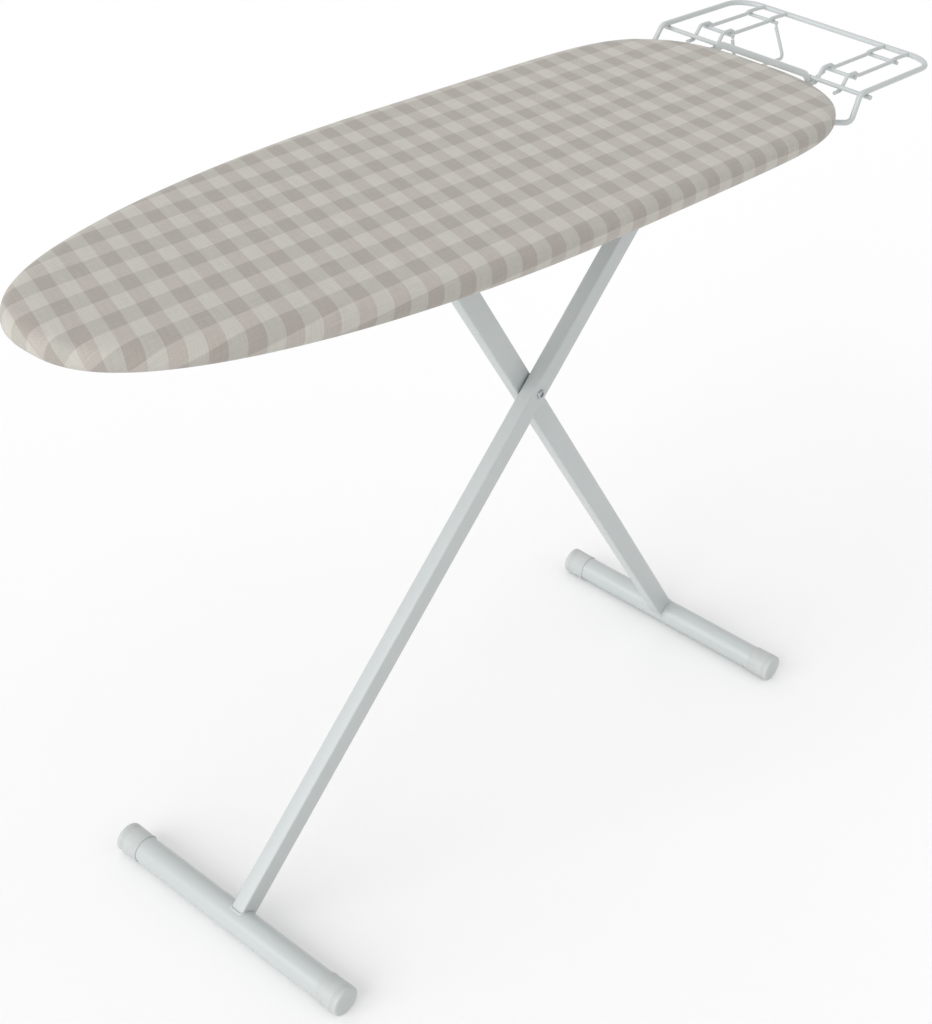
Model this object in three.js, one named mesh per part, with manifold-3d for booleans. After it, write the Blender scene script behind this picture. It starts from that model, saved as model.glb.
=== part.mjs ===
// A folding ironing board on two crossed legs, with a wire iron rest at its tail.
// Millimetres, +Z up, the floor at Z = 0. Stations along X are measured from the tip of the nose
// towards the tail, and the whole assembly is then moved so that its box is centred on X = 0.
import * as THREE from "three";
import { mergeVertices } from "three/addons/utils/BufferGeometryUtils.js";
import Module from "manifold-3d";

const wasm = await Module();
wasm.setup();

// Board
const BOARD_LENGTH = 1190;
const BOARD_HALF_WIDTH = 187;
const WIDEST_STATION = 640;
const BOARD_TOP = 940;
const OUTLINE_STEPS = 18; // on each half of the outline, nose and tail
const COVER_LIP_Z = 913; // underside of the hem that wraps below the rim
const RIM_RADIUS = 7;
const RIM_WALL = 1.2;
const RIM_INSET = 8.8;
const RIM_Z = 922.6;
const MESH_BOTTOM = 930;
const MESH_THICKNESS = 0.6;

// Crossed legs: both have the same lengths above and below the crossing
const CROSS_X = 770;
const CROSS_Z = 603;
const FOOT_Z = 19.6;
const FOOT_SPREAD = 479; // from the crossing to each foot, along X
const LEG_WIDTH = 30;
const LEG_THICKNESS = 20;
const LEG_WALL = 1.5;
const LEG_OFFSET = 11; // each leg's middle from the plane between the legs
const LEG_PLANE = 1; // the plane between the legs, from the board's middle plane
const ROD_RADIUS = 4;
const ROD_Z = 897; // both top rods
const ROD_OFFSET = 21; // from a leg's middle line to its top rod, square to the leg
const ROD_REACH = 42; // half the length of a top rod
const EYE_RADIUS = 10;
const FOOT_RADIUS = 18.4;
const CAP_RADIUS = 20;
const FOOT_REACH = 197; // half a foot's length over its caps

// Plates, rails and the release lever
const PLATE_Y = 31; // inner face of the rails and the pivot brackets
const PLATE_THICKNESS = 2;
const PLATE_BOTTOM = 884;
const PLATE_TOP = 917.6;
const FLANGE_WIDTH = 13;
const RAIL_START = 238;
const RAIL_END = 655;
const BRACE_TOP = 929.6;
const BRACE_BOTTOM = 918;
const TAIL_BRACE_BOTTOM = 913.2;
const BRACE_WIDTH = 20;
const BRACE_STATIONS = { front: 275, middle: 640, rear: 982, tail: 1105 };
const LEVER_PIVOT_X = 360;
const LEVER_PIVOT_Z = 909.5;
const LEVER_RIVET_RADIUS = 2.5;
const YOKE_END = 612;
const YOKE_WALL_Y = 24;
const HANDLE_WIDTH = 28;
const HANDLE_REACH = 150;
const NOTCH_PITCH = 25;
const NOTCH_COUNT = 5;

// Iron rest
const REST_Z = 942;
const REST_HALF_WIDTH = 152;
const REST_END = 1376.4;
const REST_WIRE = 3.6; // radius of the outer loop's wire
const CROSS_WIRE = 2.9;
const RIDGE_WIRE = 2.5;
const LOOP_WIRE = 2.3; // the hanging loop and the arm beside it
const CROSS_WIRE_X = 1198.5;
const CROSS_WIRE_Z = REST_Z - REST_WIRE - CROSS_WIRE - 0.3;
const RIDGE_INNER = 77;
const RIDGE_OUTER = 113;
const TIE_STATIONS = [1231, 1341];
const CLAMP_Y = 128;
const CLAMP_Z = 908.9; // height of the outer loop where it runs in below the hem

const GAP = 0.3; // running gap that touching pieces keep
const SIDES = Object.entries({ left: 1, right: -1 }); // the sign of Y on each side

const legAngle = Math.atan2(CROSS_Z - FOOT_Z, FOOT_SPREAD);
const legLower = Math.hypot(CROSS_Z - FOOT_Z, FOOT_SPREAD);
const legUpper = (ROD_Z - CROSS_Z - ROD_OFFSET * Math.cos(legAngle)) / Math.sin(legAngle);
const rodSpread = legUpper * Math.cos(legAngle) - ROD_OFFSET * Math.sin(legAngle);
const FIXED_ROD_X = CROSS_X + rodSpread;
const SLIDER_ROD_X = CROSS_X - rodSpread;
const SLIDER_FOLDED_X = FIXED_ROD_X - 2 * legUpper;
const OVERALL_LENGTH = REST_END + REST_WIRE;

const material = (color, roughness, metalness) =>
  new THREE.MeshStandardMaterial({ color, roughness, metalness });
const paint = {
  cotton: () => material(0xbab6ad, 0.95, 0),
  foam: () => material(0xd9d6cf, 1, 0),
  whiteSteel: () => material(0xdde1e1, 0.4, 0.1),
  zinc: () => material(0xa9adb0, 0.35, 0.9),
  whitePlastic: () => material(0xe2e5e4, 0.5, 0),
  greyPlastic: () => material(0x8d9294, 0.6, 0),
};

const assembly = new THREE.Group();
assembly.position.x = -OVERALL_LENGTH / 2;

function piece(name, geometry, finish, parent = assembly) {
  const mesh = new THREE.Mesh(geometry, finish);
  mesh.name = name;
  parent.add(mesh);
  return mesh;
}

// Joining and cutting

function solid(geometry) {
  const bare = new THREE.BufferGeometry();
  const source = geometry.index ? geometry.toNonIndexed() : geometry;
  bare.setAttribute("position", source.getAttribute("position"));
  const merged = mergeVertices(bare, 1e-4);
  return new wasm.Manifold(
    new wasm.Mesh({
      numProp: 3,
      vertProperties: merged.attributes.position.array,
      triVerts: new Uint32Array(merged.index.array),
    }),
  );
}

function geometryOf(manifold) {
  const mesh = manifold.getMesh();
  const positions = new Float32Array(mesh.numVert * 3);
  for (let i = 0; i < mesh.numVert; i++) {
    const start = i * mesh.numProp;
    positions.set(mesh.vertProperties.subarray(start, start + 3), i * 3);
  }
  const geometry = new THREE.BufferGeometry();
  geometry.setAttribute("position", new THREE.BufferAttribute(positions, 3));
  geometry.setIndex(new THREE.BufferAttribute(new Uint32Array(mesh.triVerts), 1));
  geometry.computeVertexNormals();
  return geometry;
}

function join(...geometries) {
  const solids = geometries.map(solid);
  return geometryOf(solids.reduce((sum, next) => sum.add(next)));
}

function cut(base, ...tools) {
  return geometryOf(tools.map(solid).reduce((rest, tool) => rest.subtract(tool), solid(base)));
}

// Simple shapes

const box = (low, high) => {
  const size = high.map((value, i) => value - low[i]);
  const middle = high.map((value, i) => (value + low[i]) / 2);
  return new THREE.BoxGeometry(...size).translate(...middle);
};

const rodAlongY = (radius, from, to, sides = 12) =>
  new THREE.CylinderGeometry(radius, radius, to - from, sides).translate(0, (from + to) / 2, 0);

// A closed outline in the XZ plane, given as [x, z] pairs, made solid between two Y planes.
function slabAcrossY(points, from, to) {
  const shape = new THREE.Shape(points.map(([x, z]) => new THREE.Vector2(x, -z)));
  const options = { depth: to - from, bevelEnabled: false };
  return new THREE.ExtrudeGeometry(shape, options).rotateX(-Math.PI / 2).translate(0, from, 0);
}

function arcPoints(cx, cy, radius, from, to, steps) {
  return Array.from({ length: steps + 1 }, (_, i) => {
    const angle = from + ((to - from) * i) / steps;
    return [cx + radius * Math.cos(angle), cy + radius * Math.sin(angle)];
  });
}

function roundedRectangle(width, height, radius) {
  const x = width / 2 - radius;
  const y = height / 2 - radius;
  const quarter = Math.PI / 2;
  const corners = [
    [x, y],
    [-x, y],
    [-x, -y],
    [x, -y],
  ];
  return corners.flatMap(([cx, cy], i) =>
    arcPoints(cx, cy, radius, i * quarter, (i + 1) * quarter, 2).map((p) => new THREE.Vector2(...p)),
  );
}

// A rectangular tube standing along Z, open at both ends.
function rectangularTube(width, thickness, wall, length) {
  const shape = new THREE.Shape(roundedRectangle(width, thickness, 2.5));
  shape.holes.push(new THREE.Path(roundedRectangle(width - 2 * wall, thickness - 2 * wall, 1)));
  return new THREE.ExtrudeGeometry(shape, { depth: length, bevelEnabled: false });
}

// A turned piece about the Y axis; the profile is a list of [radius, y] and closes on itself.
const turned = (profile, sides) =>
  new THREE.LatheGeometry(
    [...profile, profile[0]].map(([radius, y]) => new THREE.Vector2(radius, y)),
    sides,
  );

const ring = (inner, outer, from, to, sides = 12) =>
  turned(
    [
      [inner, from],
      [outer, from],
      [outer, to],
      [inner, to],
    ],
    sides,
  );

// A path that runs straight from knot to knot, for a swept section that turns at each of them.
class KnotPath extends THREE.Curve {
  constructor(knots) {
    super();
    this.knots = knots;
  }

  getSpacedPoints() {
    return this.knots.map((knot) => knot.clone());
  }

  getTangentAt(u) {
    const last = this.knots.length - 1;
    const i = Math.round(u * last);
    const before = this.knots[Math.max(i - 1, 0)];
    const after = this.knots[Math.min(i + 1, last)];
    return after.clone().sub(before).normalize();
  }
}

function sweep(knots, radius, sides, boreRadius = 0) {
  const circle = (r) =>
    arcPoints(0, 0, r, 0, 2 * Math.PI, sides)
      .slice(0, -1)
      .map((p) => new THREE.Vector2(...p));
  const section = new THREE.Shape(circle(radius));
  if (boreRadius) section.holes.push(new THREE.Path(circle(boreRadius)));
  return new THREE.ExtrudeGeometry(section, {
    extrudePath: new KnotPath(knots),
    steps: knots.length - 1,
    bevelEnabled: false,
  });
}

// The knots of a bent wire: straight between its corners, with a round bend at each one.
function bentWire(points, bendRadius, bendSteps) {
  const corners = points.map((p) => new THREE.Vector3(...p));
  return corners.flatMap((corner, i) => {
    if (i === 0 || i === corners.length - 1) return [corner];
    const back = corners[i - 1].clone().sub(corner);
    const ahead = corners[i + 1].clone().sub(corner);
    const turn = Math.PI - back.angleTo(ahead);
    const longest = Math.min(back.length(), ahead.length()) / 2.1;
    const reach = Math.min(bendRadius * Math.tan(turn / 2), longest);
    const start = corner.clone().addScaledVector(back.normalize(), reach);
    const end = corner.clone().addScaledVector(ahead.normalize(), reach);
    return new THREE.QuadraticBezierCurve3(start, corner, end).getPoints(bendSteps);
  });
}

const wire = (points, radius, bendRadius, sides, bendSteps) =>
  sweep(bentWire(points, bendRadius, bendSteps), radius, sides);

// The board's outline: two superellipse halves that meet at the widest station. Each point also
// gets the outward direction, so that every layer of the board can follow it at its own inset.
function boardOutline() {
  const bluntness = 2.5; // across the board
  const noseRoundness = 2; // along the nose half, which comes to a soft point
  const tailRoundness = 7.5; // along the tail half, which is nearly square
  const half = (length, roundness, sign, angle) => {
    const along = Math.abs(Math.cos(angle)) ** (2 / roundness);
    const across = Math.sin(angle) ** (2 / bluntness);
    return new THREE.Vector2(WIDEST_STATION + sign * length * along, BOARD_HALF_WIDTH * across);
  };
  const side = [];
  for (let i = 1; i <= OUTLINE_STEPS; i++) {
    const angle = (i / OUTLINE_STEPS) ** 1.25 * (Math.PI / 2);
    side.push(half(WIDEST_STATION, noseRoundness, -1, angle));
  }
  for (let i = OUTLINE_STEPS - 1; i >= 1; i--) {
    const angle = (i / OUTLINE_STEPS) ** 1.5 * (Math.PI / 2);
    side.push(half(BOARD_LENGTH - WIDEST_STATION, tailRoundness, 1, angle));
  }
  const nose = new THREE.Vector2(0, 0);
  const tail = new THREE.Vector2(BOARD_LENGTH, 0);
  const mirrored = side.map((p) => new THREE.Vector2(p.x, -p.y)).reverse();
  const points = [tail, ...side.slice().reverse(), nose, ...mirrored.slice().reverse()];
  return points.map((point, i) => {
    const before = points[(i + points.length - 1) % points.length];
    const after = points[(i + 1) % points.length];
    const along = after.clone().sub(before).normalize();
    return { point, outward: new THREE.Vector2(along.y, -along.x) };
  });
}

const outline = boardOutline();
const spine = new THREE.Vector2(WIDEST_STATION, 0);

const layerRing = (inset, z) =>
  outline.map(({ point, outward }) => {
    const p = point.clone().addScaledVector(outward, -inset);
    return new THREE.Vector3(p.x, p.y, z);
  });

const innerRing = (scale, inset, z) =>
  layerRing(inset, z).map(
    (p) =>
      new THREE.Vector3(spine.x + (p.x - spine.x) * scale, spine.y + (p.y - spine.y) * scale, z),
  );

// A closed skin through a stack of rings; its first and last ring are closed to a middle point.
function ringStack(rings) {
  const count = outline.length;
  const positions = [];
  const triangle = (a, b, c) => positions.push(...a.toArray(), ...b.toArray(), ...c.toArray());
  const middle = (ringPoints) => new THREE.Vector3(spine.x, spine.y, ringPoints[0].z);
  for (let i = 0; i < count; i++) {
    const j = (i + 1) % count;
    triangle(middle(rings[0]), rings[0][j], rings[0][i]);
    for (let r = 0; r + 1 < rings.length; r++) {
      triangle(rings[r][i], rings[r][j], rings[r + 1][j]);
      triangle(rings[r][i], rings[r + 1][j], rings[r + 1][i]);
    }
    const top = rings[rings.length - 1];
    triangle(middle(top), top[i], top[j]);
  }
  const geometry = new THREE.BufferGeometry();
  geometry.setAttribute("position", new THREE.Float32BufferAttribute(positions, 3));
  geometry.computeVertexNormals();
  return geometry;
}

// Board layers

function coverShell() {
  const lip = 24; // how far the hem reaches in below the rim
  const inside = [
    innerRing(0.7, 16, 938.7),
    layerRing(16, 937.4),
    layerRing(6.6, 935.8),
    layerRing(2.9, 932.6),
    layerRing(1.3, 927.5),
    layerRing(1.3, 920),
    layerRing(3, 916.2),
    layerRing(7.4, COVER_LIP_Z + 1.3),
    layerRing(lip, COVER_LIP_Z + 1.6),
  ];
  const outside = [
    layerRing(lip, COVER_LIP_Z + 0.3),
    layerRing(7, COVER_LIP_Z),
    layerRing(2.2, 915),
    layerRing(0, 920),
    layerRing(0, 928),
    layerRing(1.6, 933.4),
    layerRing(6, 937),
    layerRing(16, 938.7),
    innerRing(0.7, 16, BOARD_TOP),
  ];
  return ringStack([...inside, ...outside]);
}

function padSlab() {
  return ringStack([
    layerRing(5.5, MESH_BOTTOM + MESH_THICKNESS + GAP),
    layerRing(5.5, 933.8),
    layerRing(8, 935.2),
    layerRing(16.5, 936.8),
    innerRing(0.7, 16.5, 938.2),
  ]);
}

function rimTube() {
  const points = layerRing(RIM_INSET, RIM_Z);
  const butt = 0.4; // half the gap where the tube's two ends are butted at the tail
  const start = points[0].clone().add(new THREE.Vector3(0, butt, 0));
  const end = points[0].clone().add(new THREE.Vector3(0, -butt, 0));
  return sweep([start, ...points.slice(1), end], RIM_RADIUS, 8, RIM_RADIUS - RIM_WALL);
}

piece("cover", coverShell(), paint.cotton());
piece("pad", padSlab(), paint.foam());
piece(
  "mesh_top",
  ringStack([layerRing(5.5, MESH_BOTTOM), layerRing(5.5, MESH_BOTTOM + MESH_THICKNESS)]),
  paint.whiteSteel(),
);
piece("rim_tube", rimTube(), paint.whiteSteel());

// Half the board's width at a station, for pieces that span it.
function halfWidthAt(station) {
  const nose = station < WIDEST_STATION;
  const length = nose ? WIDEST_STATION : BOARD_LENGTH - WIDEST_STATION;
  const along = Math.abs(station - WIDEST_STATION) / length;
  return BOARD_HALF_WIDTH * (1 - along ** (nose ? 2 : 7.5)) ** 0.4;
}

const screwHole = (x, y, radius = 2.3) =>
  new THREE.CylinderGeometry(radius, radius, 8, 12)
    .rotateX(Math.PI / 2)
    .translate(x, y, TAIL_BRACE_BOTTOM);

const CLAMP_SCREW_Y = CLAMP_Y - 9.5;
const PLATE_EAR_Y = 69.5;
const LOOP_CLIP_Y = 53;
const ARM_CLIP_Y = -49.4;
const TAIL_SCREW_YS = [CLAMP_SCREW_Y, PLATE_EAR_Y].flatMap((y) => [y, -y]).concat(LOOP_CLIP_Y, ARM_CLIP_Y);

for (const [place, station] of Object.entries(BRACE_STATIONS)) {
  const bottom = place === "tail" ? TAIL_BRACE_BOTTOM : BRACE_BOTTOM;
  const height = BRACE_TOP - bottom;
  const edge = station + (place === "front" ? -BRACE_WIDTH : BRACE_WIDTH) / 2;
  const reach = halfWidthAt(edge) - RIM_INSET - RIM_RADIUS - 2.5;
  const tube = rectangularTube(BRACE_WIDTH, height, 1.2, 2 * reach)
    .translate(0, 0, -reach)
    .rotateX(Math.PI / 2)
    .translate(station, 0, (BRACE_TOP + bottom) / 2);
  if (place !== "tail") {
    piece("brace_" + place, tube, paint.whiteSteel());
    continue;
  }
  const holes = TAIL_SCREW_YS.map((y) => screwHole(station, y));
  const hemNotches = [-1, 1].map((side) => {
    const ends = [side * (reach - 16), side * (reach + 5)].sort((a, b) => a - b);
    return box([station - 30, ends[0], bottom - 1], [station + 30, ends[1], BRACE_BOTTOM]);
  });
  piece("brace_tail", cut(tube, ...holes, ...hemNotches), paint.whiteSteel());
}

// Rails and pivot brackets: upright plates with an outward flange under the braces

function hangingPlate(side, from, to) {
  const inner = PLATE_Y;
  const outer = PLATE_Y + PLATE_THICKNESS;
  const section = [
    [inner, PLATE_BOTTOM],
    [outer, PLATE_BOTTOM],
    [outer, PLATE_TOP - 1.6],
    [outer + FLANGE_WIDTH, PLATE_TOP - 1.6],
    [outer + FLANGE_WIDTH, PLATE_TOP],
    [inner, PLATE_TOP],
  ];
  const shape = new THREE.Shape(section.map(([y, z]) => new THREE.Vector2(y * side, z)));
  return new THREE.ExtrudeGeometry(shape, { depth: to - from, bevelEnabled: false })
    .rotateY(Math.PI / 2)
    .rotateX(Math.PI / 2)
    .translate(from, 0, 0);
}

function slotCutter(from, to, radius) {
  const quarter = Math.PI / 2;
  const points = [
    ...arcPoints(to, ROD_Z, radius, -quarter, quarter, 6),
    ...arcPoints(from, ROD_Z, radius, quarter, 3 * quarter, 6),
  ];
  return slabAcrossY(points, -60, 60);
}

const rodBore = ROD_RADIUS + GAP;
const rivetHole = () =>
  rodAlongY(LEVER_RIVET_RADIUS + GAP, -60, 60).translate(LEVER_PIVOT_X, 0, LEVER_PIVOT_Z);
for (const [sideName, side] of SIDES) {
  const slot = slotCutter(SLIDER_FOLDED_X - 0.5, SLIDER_ROD_X + 0.5, ROD_RADIUS + 0.5);
  const tools = [slot, rivetHole()];
  if (side < 0) {
    const start = YOKE_END - HANDLE_WIDTH - 5;
    tools.push(box([start, -60, 905], [YOKE_END + 5, 0, PLATE_TOP + 5]));
  }
  piece(
    "slide_rail_" + sideName,
    cut(hangingPlate(side, RAIL_START, RAIL_END), ...tools),
    paint.zinc(),
  );
  const bore = rodAlongY(rodBore, -60, 60).translate(FIXED_ROD_X, 0, ROD_Z);
  piece(
    "pivot_bracket_" + sideName,
    cut(hangingPlate(side, FIXED_ROD_X - 34, FIXED_ROD_X + 34), bore),
    paint.zinc(),
  );
}

// Release lever: a notched yoke over the slider rod, with a handle out to the board's right edge

const WEB_TOP = 915.4;
const WEB_BOTTOM = 913.4;
const YOKE_WALL = 2;
const YOKE_FOOT = 907;

function yoke() {
  const toothBottom = ROD_Z + ROD_RADIUS + 0.7;
  const roof = toothBottom + 4.5;
  const notchHalf = ROD_RADIUS + 0.5;
  const edge = [[LEVER_PIVOT_X - 8, 904.5]];
  for (let i = NOTCH_COUNT - 1; i >= 0; i--) {
    const x = SLIDER_ROD_X - i * NOTCH_PITCH;
    if (i === NOTCH_COUNT - 1) {
      edge.push([x - 18, 904.5], [x - 15, toothBottom]);
    }
    edge.push([x - notchHalf, toothBottom], [x - notchHalf + 1, roof]);
    edge.push([x + notchHalf - 1, roof], [x + notchHalf, toothBottom]);
  }
  edge.push([SLIDER_ROD_X + 12, toothBottom], [SLIDER_ROD_X + 18, YOKE_FOOT]);
  edge.push([YOKE_END, YOKE_FOOT], [YOKE_END, WEB_TOP], [LEVER_PIVOT_X - 8, WEB_TOP]);
  const wall = (from, to) => slabAcrossY(edge, from, to);
  const outerY = YOKE_WALL_Y + YOKE_WALL;
  const web = box([LEVER_PIVOT_X + 12, -outerY, WEB_BOTTOM], [YOKE_END, outerY, WEB_TOP]);
  const joined = join(wall(YOKE_WALL_Y, outerY), wall(-outerY, -YOKE_WALL_Y), web);
  return cut(joined, rivetHole());
}
piece("release_yoke", yoke(), paint.zinc());

// The flat arm that the hand pulls up: a tab at its root lies against the yoke's right wall.
function handleArm() {
  const root = -(YOKE_WALL_Y + YOKE_WALL + GAP);
  const start = YOKE_END - HANDLE_WIDTH;
  const blade = box([start, -HANDLE_REACH, WEB_BOTTOM], [YOKE_END, root, WEB_TOP]);
  const tab = box([start, root - YOKE_WALL, YOKE_FOOT], [YOKE_END, root, WEB_TOP]);
  return join(blade, tab);
}
piece("handle_arm", handleArm(), paint.zinc());

function handleGrip() {
  const middle = [YOKE_END - HANDLE_WIDTH / 2, (WEB_BOTTOM + WEB_TOP) / 2];
  const sleeve = new THREE.Shape(roundedRectangle(HANDLE_WIDTH + 8, 9.6, 4.2));
  sleeve.holes.push(new THREE.Path(roundedRectangle(HANDLE_WIDTH + 2 * GAP, 2 + 2 * GAP, 0.2)));
  return new THREE.ExtrudeGeometry(sleeve, { depth: 56, bevelEnabled: false })
    .rotateX(Math.PI / 2)
    .translate(middle[0], -HANDLE_REACH + 56 - 2, middle[1]);
}
piece("handle_grip", handleGrip(), paint.greyPlastic());

for (const [sideName, side] of SIDES) {
  const profile = [
    [0, 22.7],
    [4.6, 22.7],
    [4.6, YOKE_WALL_Y - GAP],
    [LEVER_RIVET_RADIUS, YOKE_WALL_Y - GAP],
    [LEVER_RIVET_RADIUS, PLATE_Y + PLATE_THICKNESS + GAP],
    [4.6, PLATE_Y + PLATE_THICKNESS + GAP],
    [3.6, PLATE_Y + PLATE_THICKNESS + 2],
    [0, PLATE_Y + PLATE_THICKNESS + 2],
  ];
  const rivet = new THREE.LatheGeometry(
    profile.map(([radius, y]) => new THREE.Vector2(radius, y)),
    12,
  );
  if (side < 0) rivet.rotateX(Math.PI);
  piece(
    "lever_rivet_" + sideName,
    rivet.translate(LEVER_PIVOT_X, 0, LEVER_PIVOT_Z),
    paint.zinc(),
  );
}

function leverSpring() {
  const radius = 4.6;
  const turns = 2;
  const perTurn = 10;
  const pitch = 1.4;
  const start = YOKE_WALL_Y + 2 + 1;
  const coil = Array.from({ length: turns * perTurn + 1 }, (_, i) => {
    const angle = Math.PI / 2 + (i / perTurn) * 2 * Math.PI;
    const y = start + (i / perTurn) * pitch;
    return [
      LEVER_PIVOT_X + radius * Math.cos(angle),
      y,
      LEVER_PIVOT_Z + radius * Math.sin(angle),
    ];
  });
  const first = coil[0];
  const last = coil[coil.length - 1];
  const points = [[first[0] + 24, first[1], first[2]], ...coil, [last[0] - 20, last[1], last[2]]];
  return sweep(points.map((p) => new THREE.Vector3(...p)), 0.5, 5);
}
piece("lever_spring", leverSpring(), paint.zinc());

// Iron rest

function restLoop() {
  const side = (sign) => [
    [1076, sign * CLAMP_Y, CLAMP_Z],
    [1130, sign * CLAMP_Y, CLAMP_Z],
    [1166, sign * 155, CLAMP_Z],
    [1181, sign * REST_HALF_WIDTH, REST_Z],
    [REST_END, sign * REST_HALF_WIDTH, REST_Z],
  ];
  const farEnd = [side(1)[3], side(1)[4], side(-1)[4], side(-1)[3]];
  const knots = [
    ...bentWire(side(1), 9, 3).slice(0, -1),
    ...bentWire(farEnd, 36, 6).slice(1, -1),
    ...bentWire(side(-1), 9, 3).slice(0, -1).reverse(),
  ];
  return sweep(knots, REST_WIRE, 8);
}
piece("rest_loop", restLoop(), paint.whiteSteel());

piece(
  "rest_cross_wire",
  rodAlongY(CROSS_WIRE, -159, 159, 8).translate(CROSS_WIRE_X, 0, CROSS_WIRE_Z),
  paint.whiteSteel(),
);

// A steel strap in front of the cross wire, with an ear at each end that turns in below the board.
function restStrap() {
  const front = BOARD_LENGTH + 3.6;
  const back = front + 1.5;
  const top = REST_Z + 1;
  const band = 9;
  const earHalf = 4;
  const foot = 910.3;
  const outer = PLATE_EAR_Y + earHalf;
  const inner = PLATE_EAR_Y - earHalf;
  const quarter = Math.PI / 2;
  const right = [
    ...arcPoints(outer - 12, top - 12, 12, quarter, 0, 4),
    [outer, foot],
    [inner, foot],
    ...arcPoints(inner - 6, top - band - 6, 6, 0, quarter, 3),
  ];
  const left = right.map(([y, z]) => [-y, z]).reverse();
  const shape = new THREE.Shape([...right, ...left].map(([y, z]) => new THREE.Vector2(y, z)));
  const band3d = new THREE.ExtrudeGeometry(shape, { depth: 1.5, bevelEnabled: false })
    .rotateY(Math.PI / 2)
    .rotateX(Math.PI / 2)
    .translate(front, 0, 0);
  const feet = [-1, 1].map((sign) =>
    box(
      [BRACE_STATIONS.tail - 10, sign * PLATE_EAR_Y - earHalf, foot],
      [back, sign * PLATE_EAR_Y + earHalf, foot + 2],
    ),
  );
  const holes = [-1, 1].map((sign) => screwHole(BRACE_STATIONS.tail, sign * PLATE_EAR_Y));
  return cut(join(band3d, ...feet), ...holes);
}
piece("rest_strap", restStrap(), paint.whiteSteel());

// Long wires that hold the hot soleplate up, with a low hump near each end, and their short ties.
const ridgeLow = 941;
const ridgeHigh = 946.5;
const ridgeFar = 943.5;
const underCross = CROSS_WIRE_Z - CROSS_WIRE - RIDGE_WIRE - GAP;
const ridgePath = (y) => [
  [1188, y, underCross],
  [1203, y, underCross],
  [1214, y, ridgeHigh],
  [1233, y, ridgeHigh],
  [1244, y, ridgeLow],
  [1326, y, ridgeLow],
  [1334, y, ridgeFar],
  [1350, y, ridgeFar],
  [REST_END - REST_WIRE - GAP, y, REST_Z + 0.5],
];

for (const [sideName, side] of SIDES) {
  for (const [place, y] of [
    ["inner", RIDGE_INNER],
    ["outer", RIDGE_OUTER],
  ]) {
    piece(
      "ridge_" + place + "_" + sideName,
      wire(ridgePath(side * y), RIDGE_WIRE, 5, 6, 1),
      paint.whiteSteel(),
    );
  }
  TIE_STATIONS.forEach((x, i) => {
    const z = (i ? ridgeFar : ridgeHigh) - 2 * RIDGE_WIRE - GAP;
    const tie = rodAlongY(RIDGE_WIRE, side > 0 ? 70 : -117, side > 0 ? 117 : -70, 6);
    piece(
      "ridge_tie_" + (i ? "rear" : "front") + "_" + sideName,
      tie.translate(x, 0, z),
      paint.whiteSteel(),
    );
  });
}

const HOOK_Z = 909.6;
const underTie = (ridgeTop) => ridgeTop - 4 * RIDGE_WIRE - 2 * GAP - 1;
piece(
  "hanging_loop",
  wire(
    [
      [1341, 71, underTie(ridgeFar)],
      [1336, 48, 897],
      [1208, 45, 899],
      [1160, 45, HOOK_Z],
      [1086, 45, HOOK_Z],
      [1086, 61, HOOK_Z],
      [1160, 61, HOOK_Z],
      [1226, 56, 904],
      [1231, 71, underTie(ridgeHigh)],
    ],
    LOOP_WIRE,
    7,
    6,
    3,
  ),
  paint.whiteSteel(),
);
piece(
  "rest_arm",
  wire(
    [
      [1231, -71, underTie(ridgeHigh)],
      [1190, -57, HOOK_Z + 1],
      [1150, -40, HOOK_Z],
      [1086, -40, HOOK_Z],
    ],
    LOOP_WIRE,
    9,
    6,
    3,
  ),
  paint.whiteSteel(),
);

// Saddle straps that hold the rest's wires up to the tail brace, each with its screws
function saddle(y, wireZ, wireRadius, inReach, outReach, side) {
  const top = TAIL_BRACE_BOTTOM - GAP;
  const sheet = 1.5;
  const half = wireRadius + 0.4;
  const depth = top - (wireZ - wireRadius - GAP);
  const section = [
    [-inReach, 0],
    [-half, 0],
    [-half, -depth],
    [half, -depth],
    [half, 0],
    [outReach, 0],
    [outReach, -sheet],
    [half + sheet, -sheet],
    [half + sheet, -depth - sheet],
    [-half - sheet, -depth - sheet],
    [-half - sheet, -sheet],
    [-inReach, -sheet],
  ];
  const shape = new THREE.Shape(
    section.map(([dy, dz]) => new THREE.Vector2(y + side * dy, top + dz)),
  );
  return new THREE.ExtrudeGeometry(shape, { depth: 16, bevelEnabled: false })
    .rotateY(Math.PI / 2)
    .rotateX(Math.PI / 2)
    .translate(BRACE_STATIONS.tail - 8, 0, 0);
}

// A pan-head screw driven upwards; its head bears on the sheet whose underside is at seat.
function screw(x, y, seat) {
  const profile = [
    [0, seat - 2.6],
    [2.6, seat - 2.4],
    [3.8, seat - 1.2],
    [3.8, seat - GAP],
    [2, seat - GAP],
    [2, TAIL_BRACE_BOTTOM + 6],
    [0, TAIL_BRACE_BOTTOM + 6],
  ];
  const points = profile.map(([radius, z]) => new THREE.Vector2(radius, z));
  return new THREE.LatheGeometry(points, 12).rotateX(Math.PI / 2).translate(x, y, 0);
}

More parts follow.
